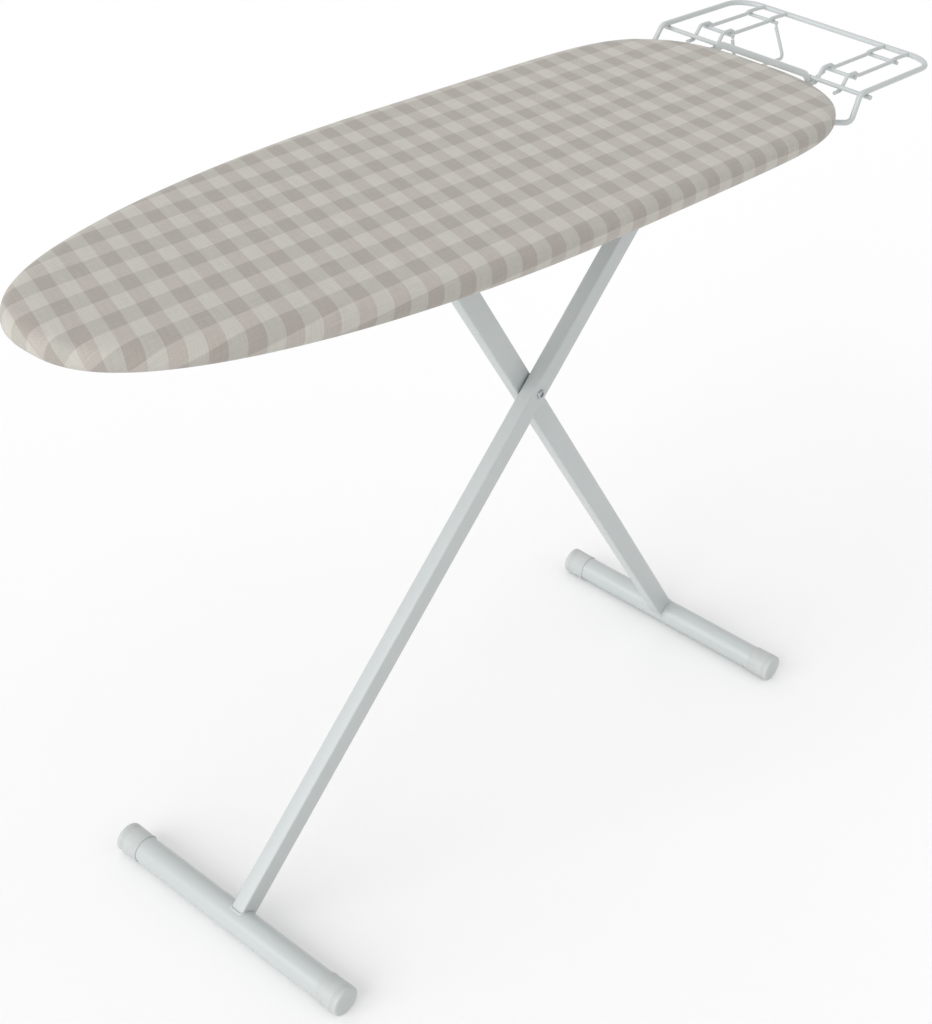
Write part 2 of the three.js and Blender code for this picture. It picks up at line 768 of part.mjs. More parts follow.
const tailX = BRACE_STATIONS.tail;
const sheetSeat = TAIL_BRACE_BOTTOM - GAP - 1.5;
for (const [sideName, side] of SIDES) {
  const strap = saddle(side * CLAMP_Y, CLAMP_Z, REST_WIRE, 15, 5.5, side);
  piece("loop_strap_" + sideName, cut(strap, screwHole(tailX, side * CLAMP_SCREW_Y)), paint.zinc());
  piece("loop_screw_" + sideName, screw(tailX, side * CLAMP_SCREW_Y, sheetSeat), paint.zinc());
  piece("strap_screw_" + sideName, screw(tailX, side * PLATE_EAR_Y, 910.3), paint.zinc());
}
const loopClip = join(
  saddle(45, HOOK_Z, LOOP_WIRE, 4.2, 8.5, 1),
  saddle(61, HOOK_Z, LOOP_WIRE, 8.5, 4.2, 1),
);
piece("hanging_loop_strap", cut(loopClip, screwHole(tailX, LOOP_CLIP_Y)), paint.zinc());
piece("hanging_loop_screw", screw(tailX, LOOP_CLIP_Y, sheetSeat), paint.zinc());
const armClip = saddle(-40, HOOK_Z, LOOP_WIRE, 13.8, 4.2, 1);
piece("rest_arm_strap", cut(armClip, screwHole(tailX, ARM_CLIP_Y)), paint.zinc());
piece("rest_arm_screw", screw(tailX, ARM_CLIP_Y, sheetSeat), paint.zinc());

// Legs. In a leg's own frame Z runs up the leg from the crossing, and its top rod lies to the side
// of the leg that faces up when the board is folded.

function legGroup(name, tilt, y) {
  const group = new THREE.Group();
  group.name = name;
  group.position.set(CROSS_X, y, CROSS_Z);
  group.rotation.y = tilt;
  assembly.add(group);
  return group;
}

const TUBE_TOP = legUpper - 24;
const boltBore = (radius) => rodAlongY(radius, -60, 60);

function legTube(boreRadius) {
  const length = legLower + TUBE_TOP;
  const tube = rectangularTube(LEG_WIDTH, LEG_THICKNESS, LEG_WALL, length);
  tube.translate(0, 0, -legLower);
  const cope = rodAlongY(FOOT_RADIUS + GAP, -60, 60, 24).translate(0, 0, -legLower);
  return cut(tube, cope, boltBore(boreRadius));
}

// A cast plug for the top of a leg: a spigot inside the tube and an eye around the top rod.
function topFitting(rodSide) {
  const half = LEG_THICKNESS / 2;
  const shoulder = TUBE_TOP + GAP;
  const x = rodSide * ROD_OFFSET;
  const edge = LEG_WIDTH / 2;
  const eye = arcPoints(ROD_OFFSET, legUpper, EYE_RADIUS, -Math.PI / 2, Math.PI, 10);
  const points = [
    [-edge, shoulder],
    [edge, shoulder],
    ...eye,
    [-edge, shoulder + 8],
  ];
  const body = slabAcrossY(
    rodSide > 0 ? points : points.map(([px, pz]) => [-px, pz]).reverse(),
    -half,
    half,
  );
  const inner = LEG_WALL + 0.5;
  const spigot = box(
    [-edge + inner, -half + inner, shoulder - 30],
    [edge - inner, half - inner, shoulder + 1],
  );
  const bore = rodAlongY(rodBore, -60, 60).translate(x, 0, legUpper);
  return cut(join(body, spigot), bore);
}

function footTube() {
  const reach = FOOT_REACH - 6;
  return ring(FOOT_RADIUS - LEG_WALL, FOOT_RADIUS, -reach, reach, 20);
}

// A moulded cap over one end of a foot, with a narrow flat underneath that stands on the floor.
function footCap(side) {
  const bore = FOOT_RADIUS + GAP;
  const profile = [
    [0, FOOT_REACH - 5.5],
    [bore, FOOT_REACH - 5.5],
    [bore, FOOT_REACH - 36],
    [CAP_RADIUS - 1, FOOT_REACH - 36],
    [CAP_RADIUS, FOOT_REACH - 35],
    [CAP_RADIUS, FOOT_REACH - 4],
    [CAP_RADIUS - 1.2, FOOT_REACH - 1.2],
    [CAP_RADIUS - 4, FOOT_REACH],
    [0, FOOT_REACH],
  ];
  const cap = new THREE.LatheGeometry(
    profile.map(([radius, y]) => new THREE.Vector2(radius, y)),
    20,
  );
  if (side < 0) cap.rotateX(Math.PI);
  return cap;
}

// Everything that turns with one leg. up is the sign of local X on the leg's upper side.
function buildLeg(name, tilt, legY, up, boreRadius) {
  const group = legGroup(name, tilt, legY);
  piece(name + "_tube", legTube(boreRadius), paint.whiteSteel(), group);
  piece(name + "_fitting", topFitting(up), paint.greyPlastic(), group);
  const rodX = up * ROD_OFFSET;
  const rodName = name === "leg_front" ? "pivot_rod" : "slider_rod";
  const rod = rodAlongY(ROD_RADIUS, -ROD_REACH, ROD_REACH).translate(rodX, -legY, legUpper);
  piece(rodName, rod, paint.zinc(), group);
  for (const [sideName, side] of SIDES) {
    const middle = side * (PLATE_Y + PLATE_THICKNESS + 2);
    const clip = ring(rodBore, 7.5, middle - 1, middle + 1).translate(rodX, -legY, legUpper);
    piece(rodName + "_clip_" + sideName, clip, paint.zinc(), group);
  }
  const foot = new THREE.Group();
  foot.position.set(0, -legY, -legLower);
  group.add(foot);
  const footName = name.replace("leg", "foot");
  piece(footName + "_tube", footTube(), paint.whiteSteel(), foot);
  const floor = box([-40, -250, -FOOT_Z - 40], [40, 250, -FOOT_Z]).rotateY(-tilt);
  for (const [sideName, side] of SIDES) {
    const cap = cut(footCap(side), floor);
    piece(footName + "_cap_" + sideName, cap, paint.whitePlastic(), foot);
  }
  return group;
}

const tilt = Math.PI / 2 - legAngle;
const boltRadius = 4;
const BOLT_HEAD = 6;
const legFront = buildLeg("leg_front", tilt, LEG_PLANE - LEG_OFFSET, -1, boltRadius + GAP);
buildLeg("leg_rear", -tilt, LEG_PLANE + LEG_OFFSET, 1, boltRadius + GAP);

// Centre bolt: in the front leg's frame, where the plane between the legs is at LEG_OFFSET.
const outerFace = LEG_THICKNESS / 2;
const farFace = 2 * LEG_OFFSET + LEG_THICKNESS / 2;
const boltProfile = [
  [0, -outerFace - 3],
  [3.2, -outerFace - 2.7],
  [BOLT_HEAD, -outerFace - 1],
  [BOLT_HEAD, -outerFace - GAP],
  [boltRadius, -outerFace - GAP],
  [boltRadius, farFace + 7],
  [0, farFace + 7],
];
piece(
  "centre_bolt",
  new THREE.LatheGeometry(
    boltProfile.map(([radius, y]) => new THREE.Vector2(radius, y)),
    16,
  ),
  paint.zinc(),
  legFront,
);
piece(
  "centre_nut",
  cut(rodAlongY(7.5, farFace + GAP, farFace + 6, 6), boltBore(boltRadius + GAP)),
  paint.zinc(),
  legFront,
);
piece(
  "centre_washer",
  ring(boltRadius + GAP, 11, LEG_OFFSET - 0.7, LEG_OFFSET + 0.7),
  paint.whitePlastic(),
  legFront,
);

export default assembly;
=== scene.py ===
"""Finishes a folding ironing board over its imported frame.

It adds cloth, coatings, wires and a plain studio.
"""

from math import cos, dist, hypot, pi, radians, sin, sqrt

import bmesh
import bpy
from bpy.props import FloatProperty, FloatVectorProperty, IntProperty, PointerProperty
from bpy.types import NodeSocket, Operator, Panel, PropertyGroup, Scene
from mathutils import Matrix, Vector, noise


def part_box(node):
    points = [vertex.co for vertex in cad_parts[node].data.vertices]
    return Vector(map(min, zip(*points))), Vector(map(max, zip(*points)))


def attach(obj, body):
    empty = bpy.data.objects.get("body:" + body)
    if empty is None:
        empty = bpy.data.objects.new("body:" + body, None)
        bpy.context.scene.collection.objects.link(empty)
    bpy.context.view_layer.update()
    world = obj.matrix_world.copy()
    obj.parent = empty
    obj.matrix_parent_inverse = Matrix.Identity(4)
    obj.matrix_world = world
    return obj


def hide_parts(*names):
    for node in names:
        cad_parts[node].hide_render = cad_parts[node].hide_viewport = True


bl_info = {
    "name": "Folding ironing board",
    "version": (1, 0, 0),
    "blender": (4, 5, 0),
    "location": "View3D > Sidebar > Ironing board",
    "description": "Finishes the cover, the wires and the coatings of a folding ironing board",
    "category": "Object",
}

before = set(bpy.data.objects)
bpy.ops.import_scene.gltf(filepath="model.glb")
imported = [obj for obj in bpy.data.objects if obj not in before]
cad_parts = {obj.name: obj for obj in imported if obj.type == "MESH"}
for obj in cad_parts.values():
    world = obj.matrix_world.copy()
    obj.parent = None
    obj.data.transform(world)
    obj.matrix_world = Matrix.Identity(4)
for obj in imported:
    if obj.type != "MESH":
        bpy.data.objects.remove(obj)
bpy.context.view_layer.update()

MM = 0.001
COVER_LOW, COVER_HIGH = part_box("cover")
NOSE_X = COVER_LOW[0]
TAIL_X = COVER_HIGH[0]
HALF_WIDTH = COVER_HIGH[1]
BOARD_TOP = COVER_HIGH[2]
HEM_Z = COVER_LOW[2]
WIDEST_X = NOSE_X + 640 * MM
RIM_INSET = 8.8 * MM
RIM_RADIUS = 7
RIM_Z = BOARD_TOP - 17.4 * MM
MESH_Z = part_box("mesh_top")[0][2]
SIDES = {"left": 1, "right": -1}


def at(station, y, z):
    """A place given in millimetres, with the station measured from the tip of the nose."""
    return Vector((NOSE_X + station * MM, y * MM, z * MM))


# Settings --------------------


def length(name, description, millimetres):
    return FloatProperty(
        name=name, description=description, default=millimetres * MM, unit="LENGTH"
    )


def colour(name, description, channels):
    return FloatVectorProperty(
        name=name, description=description, default=channels, subtype="COLOR_GAMMA"
    )


def strength(name, description, value):
    return FloatProperty(name=name, description=description, default=value)


class CoverSettings(PropertyGroup):
    check_length: length("Check length", "Length of one check along the board", 21.6)
    check_width: length("Check width", "Width of one check across the board", 23.7)
    warp_colour: colour("Warp colour", "Yarns dyed across the board", (0.652, 0.612, 0.585))
    weft_colour: colour("Weft colour", "Yarns dyed along the board", (0.630, 0.622, 0.592))
    ground_colour: colour("Ground colour", "Undyed yarns", (0.745, 0.732, 0.702))
    gathers: IntProperty(
        name="Gathers", description="Folds that the elastic draws into the hem", default=84, min=0
    )
    stitch_pitch: length("Stitch pitch", "Distance from one hem stitch to the next", 4)


class MeshTopSettings(PropertyGroup):
    diamond_length: length("Diamond length", "Long way of one opening in the sheet", 19)
    diamond_width: length("Diamond width", "Short way of one opening in the sheet", 9.5)
    strand_width: length("Strand width", "Width of the metal between two openings", 1.5)


class SteelSettings(PropertyGroup):
    coat_colour: colour("Coat colour", "Coat on the tubes and wires", (0.742, 0.764, 0.762))
    cap_colour: colour("Cap colour", "Moulded foot caps", (0.750, 0.768, 0.764))
    edge_radius: length("Edge radius", "Softening of sheared and cut edges", 0.4)


class StageSettings(PropertyGroup):
    sun_strength: strength("Sun strength", "The broad light from beyond the nose", 1.6)
    sky_strength: strength("Sky strength", "The even light from all round", 0.84)


class IroningBoardSettings(PropertyGroup):
    cover: PointerProperty(type=CoverSettings, name="Cover")
    mesh_top: PointerProperty(type=MeshTopSettings, name="Mesh top")
    steel: PointerProperty(type=SteelSettings, name="Steel")
    stage: PointerProperty(type=StageSettings, name="Stage")


# Materials --------------------

STEEL = "powder_coated_steel"
ZINC = "zinc_plated_steel"
PLASTIC = "moulded_polypropylene"
NYLON = "glass_filled_nylon"
COTTON = "gingham_cotton"
FELT = "needled_felt"
THREAD = "polyester_sewing_thread"
NYLON_GREY = (0.50, 0.52, 0.53)


def linear(colour):
    """An sRGB colour, as a hex string or three numbers, as linear RGBA."""
    if isinstance(colour, str):
        colour = [int(colour[i : i + 2], 16) / 255 for i in (1, 3, 5)]
    low = 0.04045
    channels = [c / 12.92 if c <= low else ((c + 0.055) / 1.055) ** 2.4 for c in colour]
    return (*channels, 1.0)


def add_node(tree, kind, inputs=None, **settings):
    """A node of this kind with its settings; an input is a value, or another node's output."""
    node = tree.nodes.new(kind)
    for key, value in settings.items():
        setattr(node, key, value)
    for socket, value in (inputs or {}).items():
        if isinstance(value, NodeSocket):
            tree.links.new(value, node.inputs[socket])
        else:
            node.inputs[socket].default_value = value
    return node


def new_material(name, **shader_inputs):
    """An empty material with a Principled shader, and its tree."""
    material = bpy.data.materials.new(name)
    material.use_nodes = True
    tree = material.node_tree
    tree.nodes.clear()
    inputs = {key.replace("_", " "): value for key, value in shader_inputs.items()}
    shader = add_node(tree, "ShaderNodeBsdfPrincipled", inputs)
    add_node(tree, "ShaderNodeOutputMaterial", {"Surface": shader.outputs["BSDF"]})
    return material, tree, shader


def math_node(tree, operation, *values):
    """The result of one maths operation."""
    return add_node(
        tree, "ShaderNodeMath", dict(enumerate(values)), operation=operation
    ).outputs[0]


def mixed(tree, factor, first, second):
    """A colour that runs from the first to the second with a factor."""
    inputs = {"Factor": factor, 6: first, 7: second}
    return add_node(tree, "ShaderNodeMix", inputs, data_type="RGBA").outputs[2]


def noise_of(tree, place, scale, **inputs):
    """Soft noise whose features are about 1 / scale metres across."""
    inputs.update({"Vector": place, "Scale": scale})
    return add_node(tree, "ShaderNodeTexNoise", inputs).outputs["Fac"]


def ranged(tree, value, low, high, from_low=0.0, from_high=1.0):
    """A value spread over the range from low to high."""
    inputs = {"Value": value, "From Min": from_low, "From Max": from_high}
    inputs.update({"To Min": low, "To Max": high})
    return add_node(tree, "ShaderNodeMapRange", inputs).outputs["Result"]


def object_place(tree):
    return add_node(tree, "ShaderNodeTexCoord").outputs["Object"]


def bump(tree, shader, height, depth, strength=1.0, below=None):
    """Raises the surface by height times depth, on top of an earlier bump."""
    inputs = {"Height": height, "Distance": depth, "Strength": strength}
    if below is not None:
        inputs["Normal"] = below
    normal = add_node(tree, "ShaderNodeBump", inputs).outputs["Normal"]
    tree.links.new(normal, shader.inputs["Normal"])
    return normal


def tinted(tree, shader, factor, dark, light):
    """Base colour that runs from dark to light with a factor."""
    tint = mixed(tree, factor, linear(dark), linear(light))
    tree.links.new(tint, shader.inputs["Base Color"])


def glossed(tree, shader, factor, low, high):
    """Roughness that runs from low to high with a factor."""
    tree.links.new(ranged(tree, factor, low, high), shader.inputs["Roughness"])


def darker(channels, share):
    return [channel * share for channel in channels]


def gingham_cotton(cover):
    """Plain-woven cotton in yarn-dyed checks: matt, with a faint nap and uneven yarns."""
    material, tree, shader = new_material(
        COTTON, Roughness=0.93, Sheen_Weight=0.18, Sheen_Roughness=0.5, Specular_IOR_Level=0.25
    )
    cloth = add_node(tree, "ShaderNodeUVMap", uv_map="cloth").outputs["UV"]
    split = add_node(tree, "ShaderNodeSeparateXYZ", {"Vector": cloth})

    def stripes(socket, width, phase):
        cells = math_node(tree, "MULTIPLY_ADD", split.outputs[socket], 0.5 / width, phase)
        return math_node(tree, "LESS_THAN", math_node(tree, "FRACT", cells), 0.5)

    def yarns(stripe, dyed):
        return mixed(tree, stripe, linear(cover.ground_colour), linear(dyed))

    across = stripes("X", cover.check_length, 0.09)  # the nose tip lies part way through a check
    along = stripes("Y", -cover.check_width, 0.475)  # a stripe ends near the board's middle line

    # Real yarns lie 0.4 mm apart; they are drawn 1.2 mm apart so that the weave shows.
    yarn = 1.2 * MM
    weave = add_node(tree, "ShaderNodeTexChecker", {"Vector": cloth, "Scale": 1 / yarn})
    # Neighbouring yarns blend a little, because each is a soft bundle of fibres.
    blended = ranged(tree, weave.outputs["Fac"], 0.27, 0.73)
    warp, weft = yarns(across, cover.warp_colour), yarns(along, cover.weft_colour)
    shade = mixed(tree, blended, warp, weft)
    # Slubs: thick places a few centimetres long in single yarns, each way.
    slub_strength = 0.05
    for scale in ((30, 900, 1), (900, 30, 1)):
        stretched = add_node(tree, "ShaderNodeMapping", {"Vector": cloth, "Scale": scale})
        slub = noise_of(tree, stretched.outputs[0], 1, Detail=2)
        level = ranged(tree, slub, 1 - slub_strength, 1 + slub_strength, 0.3, 0.7)
        scaled = {0: shade, "Scale": level}
        shade = add_node(tree, "ShaderNodeVectorMath", scaled, operation="SCALE").outputs[0]
    tree.links.new(shade, shader.inputs["Base Color"])

    def yarn_round(socket):
        """The rounded back of each yarn, as a rectified sine of its pitch."""
        angle = math_node(tree, "MULTIPLY", split.outputs[socket], pi / yarn)
        return math_node(tree, "ABSOLUTE", math_node(tree, "SINE", angle))

    rounds = {"Factor": weave.outputs["Fac"], 2: yarn_round("X"), 3: yarn_round("Y")}
    backs = add_node(tree, "ShaderNodeMix", rounds, data_type="FLOAT")
    creases = noise_of(tree, cloth, 16, Detail=3, Roughness=0.45)
    soft = bump(tree, shader, creases, 3 * MM, 0.35)
    bump(tree, shader, backs.outputs[0], 0.18 * MM, 0.55, soft)
    return material


def needled_felt():
    """Needle-punched polyester felt: no gloss at all, with matted fibres and pin marks."""
    material, tree, shader = new_material(
        FELT, Roughness=1.0, Sheen_Weight=0.3, Specular_IOR_Level=0.15
    )
    fibres = noise_of(tree, object_place(tree), 1 / (2.2 * MM), Detail=5, Distortion=1.5)
    tinted(tree, shader, fibres, "#b3ada2", "#ded9cf")
    bump(tree, shader, fibres, 0.5 * MM, 0.8)
    return material


def powder_coat(coat_colour):
    """Polyester powder coat on steel: even colour, soft gloss, a fine orange peel."""
    roughness = 0.32
    material, tree, shader = new_material(STEEL, Roughness=roughness, IOR=1.5, Coat_Weight=0.12)
    place = object_place(tree)
    drift = noise_of(tree, place, 7, Detail=2)
    tinted(tree, shader, drift, darker(coat_colour, 0.965), coat_colour)
    peel = noise_of(tree, place, 1 / (1.6 * MM), Detail=2)
    bump(tree, shader, peel, 0.06 * MM, 0.5)
    glossed(tree, shader, peel, roughness - 0.05, roughness + 0.07)
    return material


def zinc_plate():
    """Bright zinc on pressed steel: a cool metal with small crystals and rolled-in streaks."""
    material, tree, shader = new_material(ZINC, Metallic=1.0, Roughness=0.34)
    place = object_place(tree)
    grain = {"Vector": place, "Scale": 1 / (3.2 * MM)}
    crystals = add_node(tree, "ShaderNodeTexVoronoi", grain, feature="F1")
    grey = add_node(tree, "ShaderNodeSeparateColor", {"Color": crystals.outputs["Color"]})
    tinted(tree, shader, grey.outputs["Red"], "#a6abae", "#c3c7c8")
    drawn = add_node(tree, "ShaderNodeMapping", {"Vector": place, "Scale": (60, 1400, 1400)})
    streaks = noise_of(tree, drawn.outputs[0], 1, Detail=3)
    glossed(tree, shader, streaks, 0.24, 0.46)
    bump(tree, shader, streaks, 0.03 * MM, 0.5)
    return material


def moulded_plastic(name, body_colour, grain, roughness, ior):
    """Injection-moulded plastic: a fine spark-eroded grain, and slight flow marks in the tint."""
    material, tree, shader = new_material(name, Roughness=roughness, IOR=ior)
    place = object_place(tree)
    flow = noise_of(tree, place, 1 / (14 * MM), Distortion=0.8)
    tinted(tree, shader, flow, darker(body_colour, 0.95), body_colour)
    sparks = noise_of(tree, place, 1 / (grain * MM), Detail=4)
    bump(tree, shader, sparks, 0.05 * MM, 0.6)
    glossed(tree, shader, flow, roughness - 0.06, roughness + 0.06)
    return material


def spun_thread():
    """Spun polyester sewing thread: pale, slightly silky, with a twisted ply."""
    material, tree, shader = new_material(THREAD, Roughness=0.7, Sheen_Weight=0.3)
    twist = {"Vector": object_place(tree), "Scale": 1 / (1.4 * MM), "Distortion": 1.2}
    ply = add_node(tree, "ShaderNodeTexWave", twist, bands_direction="DIAGONAL")
    tinted(tree, shader, ply.outputs["Fac"], "#b9b4aa", "#d6d2c9")
    bump(tree, shader, ply.outputs["Fac"], 0.05 * MM, 0.6)
    return material


FINISHES = {  # the slot of each finish, and what makes its material from the settings
    STEEL: ("white_steel", lambda s: powder_coat(s.steel.coat_colour)),
    ZINC: ("zinc_steel", lambda s: zinc_plate()),
    PLASTIC: (
        "white_plastic", lambda s: moulded_plastic(PLASTIC, s.steel.cap_colour, 1.1, 0.46, 1.49)
    ),
    NYLON: ("grey_plastic", lambda s: moulded_plastic(NYLON, NYLON_GREY, 0.8, 0.55, 1.53)),
    COTTON: ("cover_cotton", lambda s: gingham_cotton(s.cover)),
    FELT: ("pad_foam", lambda s: needled_felt()),
    THREAD: ("cover_cotton", lambda s: spun_thread()),
}


def material_of(name):
    """The named finish, made the first time that it is asked for."""
    found = bpy.data.materials.get(name)
    return found or FINISHES[name][1](bpy.context.scene.ironing_board)


# Making and finishing pieces --------------------


class Builder:
    """What the operators share: each one builds its pieces from the scene's settings."""

    def execute(self, context):
        self.build(context.scene.ironing_board)
        return {"FINISHED"}


def new_object(name, data):
    obj = bpy.data.objects.new(name, data)
    bpy.context.scene.collection.objects.link(obj)
    return obj


def settle_piece(obj, finish, body, *nodes):
    """Gives a piece its finish and its body, and lets it stand for its CAD nodes."""
    obj.data.materials.clear()
    obj.data.materials.append(material_of(finish))
    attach(obj, body)
    if nodes:
        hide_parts(*nodes)
    return obj


def merge_doubles(mesh, distance, further=None):
    """Joins points that lie closer than a distance, and then takes a further step."""
    work = bmesh.new()
    work.from_mesh(mesh)
    bmesh.ops.remove_doubles(work, verts=work.verts, dist=distance)
    if further:
        further(work)
    work.to_mesh(mesh)
    work.free()
    mesh.shade_smooth()
    return mesh


def mesh_of(name, points, edges=(), faces=()):
    mesh = bpy.data.meshes.new(name)
    mesh.from_pydata([tuple(p) for p in points], edges, faces)
    return mesh


CREASE = radians(50)  # edges that turn more than this are softened


def flatten(work):
    """Dissolves the edges inside flat faces."""
    ops, nearly_flat = bmesh.ops, radians(0.5)
    ops.dissolve_limit(work, angle_limit=nearly_flat, verts=work.verts, edges=work.edges)


def finished_node(node, finish, body="board", edge=None):
    """A CAD piece in place of its faceted solid, with its edges softened by some millimetres."""
    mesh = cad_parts[node].data.copy()
    mesh.materials.clear()
    merge_doubles(mesh, 2e-6, flatten)
    mesh.set_sharp_from_angle(angle=CREASE + radians(10))
    mesh.name = "finished_" + node
    obj = new_object("finished_" + node, mesh)
    bevel = obj.modifiers.new("Softened edges", "BEVEL")
    usual = bpy.context.scene.ironing_board.steel.edge_radius
    bevel.width = usual if edge is None else edge * MM
    bevel.segments = 2
    bevel.limit_method = "ANGLE"
    bevel.angle_limit = CREASE
    weighted = obj.modifiers.new("Flat faces", "WEIGHTED_NORMAL")
    weighted.keep_sharp = True
    return settle_piece(obj, finish, body, node)


def round_extent(node):
    """The centre of a round piece that lies along Y, with its half length and radius in mm."""
    low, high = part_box(node)
    centre = [(a + b) / 2 for a, b in zip(low, high)]
    return centre, (high[1] - low[1]) / (2 * MM), (high[2] - low[2]) / (2 * MM)


def bands(rings, count):
    """The four corners of every face between rings of this many points."""
    faces = []
    for start in range(0, (rings - 1) * count, count):
        for i in range(count):
            a, b = start + i, start + (i + 1) % count
            faces.append((a, b, b + count, a + count))
    return faces


def mesh_of_rings(name, rings, close_first=False, close_last=False):
    """A skin through rings of equally many points, with ends closed to their middles."""
    count = len(rings[0])
    points = [p for ring in rings for p in ring]
    faces = bands(len(rings), count)
    if close_first:
        faces.append(tuple(reversed(range(count))))
    if close_last:
        faces.append(tuple(range((len(rings) - 1) * count, len(rings) * count)))
    mesh = mesh_of(name, points, faces=faces)
    mesh.shade_smooth()
    return mesh


def outwards(mesh):
    """Turns every face of a closed mesh outwards."""
    turn = bmesh.ops.recalc_face_normals
    return merge_doubles(mesh, 1e-6, lambda work: turn(work, faces=work.faces))


def turned(name, profile, centre, steps, floor):
    """A turned piece about a line along Y; the profile is a list of (radius, y) in millimetres."""
    rings = []
    for radius, y in profile:
        ring = []
        for i in range(steps):
            angle = 2 * pi * i / steps
            z = centre[2] + radius * MM * sin(angle)
            if floor is not None:
                z = max(z, floor)
            ring.append((centre[0] + radius * MM * cos(angle), centre[1] + y * MM, z))
        rings.append(ring)
    mesh = mesh_of_rings(name, rings, profile[0][0] > 0, profile[-1][0] > 0)
    outwards(mesh)
    mesh.set_sharp_from_angle(angle=radians(40))
    return mesh


def turned_piece(name, profile, centre, steps, finish, body, node, floor=None):
    mesh = turned(name, profile, centre, steps, floor)
    settle_piece(new_object(name, mesh), finish, body, node)


# The board's outline --------------------

SIDE_BLUNTNESS = 2.5
NOSE_ROUNDNESS = 2.0
TAIL_ROUNDNESS = 7.5


def quadrant(length, roundness, sign, steps):
    """One quarter of the outline, from its end on the middle line to the widest place."""
    points = []
    for i in range(steps + 1):
        angle = pi / 2 * (i / steps) ** 1.6
        along = abs(cos(angle)) ** (2 / roundness)
        across = sin(angle) ** (2 / SIDE_BLUNTNESS)
        points.append(Vector((WIDEST_X + sign * length * along, HALF_WIDTH * across)))
    return points


def board_outline(count):
    """Evenly spaced (point, outward direction) pairs, anticlockwise from the middle of the tail."""
    steps = 500
    tail = quadrant(TAIL_X - WIDEST_X, TAIL_ROUNDNESS, 1, steps)
    nose = quadrant(WIDEST_X - NOSE_X, NOSE_ROUNDNESS, -1, steps)
    left = tail + nose[-2::-1]
    right = [Vector((p.x, -p.y)) for p in left[-2:0:-1]]
    fine = left + right
    total = [0.0]
    for i in range(len(fine)):
        total.append(total[-1] + (fine[(i + 1) % len(fine)] - fine[i]).length)
    found, i = [], 0
    for k in range(count):
        goal = total[-1] * k / count
        while total[i + 1] <= goal:
            i += 1
        share = (goal - total[i]) / (total[i + 1] - total[i])
        found.append(fine[i].lerp(fine[(i + 1) % len(fine)], share))
    pairs = []
    for k, point in enumerate(found):
        run = found[(k + 1) % count] - found[k - 1]
        pairs.append((point, Vector((run.y, -run.x)).normalized()))
    return pairs


def inset_point(pair, inset, z):
    point, outward = pair
    place = point - outward * inset
    return Vector((place.x, place.y, z))


SPINE = (NOSE_X + 0.16, TAIL_X - 0.17)  # stretch of the middle line that the crown runs along


def toward_spine(pair, inset, share, z):
    """A point on the way from the outline to the nearest place on the spine."""
    edge = inset_point(pair, inset, z)
    spine = Vector((min(max(edge.x, SPINE[0]), SPINE[1]), 0, z))
    return edge.lerp(spine, share)


# Cloth --------------------


def relax_cloth(obj, held, pressure, frames, most):
    """Lets cloth settle under a slight pressure from below, with its held points fixed."""
    group = obj.vertex_groups.new(name="held")
    group.add(held, 1.0, "REPLACE")
    rest = [v.co.copy() for v in obj.data.vertices]
    cloth = obj.modifiers.new("Cloth", "CLOTH")
    cloth.settings.quality = 5
    cloth.settings.mass = 0.25
    stiffness = {"tension": 20, "compression": 20, "shear": 10, "bending": 2}
    for way, value in stiffness.items():
        setattr(cloth.settings, way + "_stiffness", value)
    cloth.settings.use_pressure = True
    cloth.settings.uniform_pressure_force = pressure
    cloth.settings.effector_weights.gravity = 0
    cloth.settings.vertex_group_mass = "held"
    cloth.collision_settings.use_collision = False
    cloth.point_cache.frame_end = frames
    scene = bpy.context.scene
    for number in range(1, frames + 1):
        scene.frame_set(number)
    settled = obj.evaluated_get(bpy.context.evaluated_depsgraph_get()).to_mesh()
    moved = [v.co.copy() for v in settled.vertices]
    obj.modifiers.remove(cloth)
    scene.frame_set(1)
    for vertex, start, end in zip(obj.data.vertices, rest, moved):
        shift = end - start
        if shift.length > most:
            shift *= most / shift.length
        vertex.co = start + shift
    obj.vertex_groups.remove(obj.vertex_groups["held"])


# (inset, height above the hem) in millimetres, from the edge of the crown round to the hem's end
COVER_PROFILE = [(22, 25.9), (16, 25.6), (12, 25.1), (8.6, 24.2), (5.7, 22.8), (3.3, 20.9)]
COVER_PROFILE += [(1.6, 18.4), (0.5, 15.2), (0, 11.6), (0, 8), (0.8, 5), (2.5, 2.6), (5, 1.1)]
COVER_PROFILE += [(8, 0.4), (11, 0.3), (14, 0.3), (17, 0.4), (20, 0.5), (23, 0.6), (25, 0.7)]
CROWN_INSET, CROWN_HEIGHT = COVER_PROFILE[0]


def woven_place(x, y):
    """Where a point of the flat cover lies in the weave, which the sewer laid a little askew."""
    run = x - NOSE_X
    run -= (0.422 - 0.226 * run) * y
    return run * (1.106 - 0.0968 * run), y


def cover_run():
    """How far the cloth runs on beyond the board's outline, laid flat, to the end of the hem."""
    steps = zip(COVER_PROFILE, COVER_PROFILE[1:])
    return (sum(dist(a, b) for a, b in steps) - CROWN_INSET) * MM


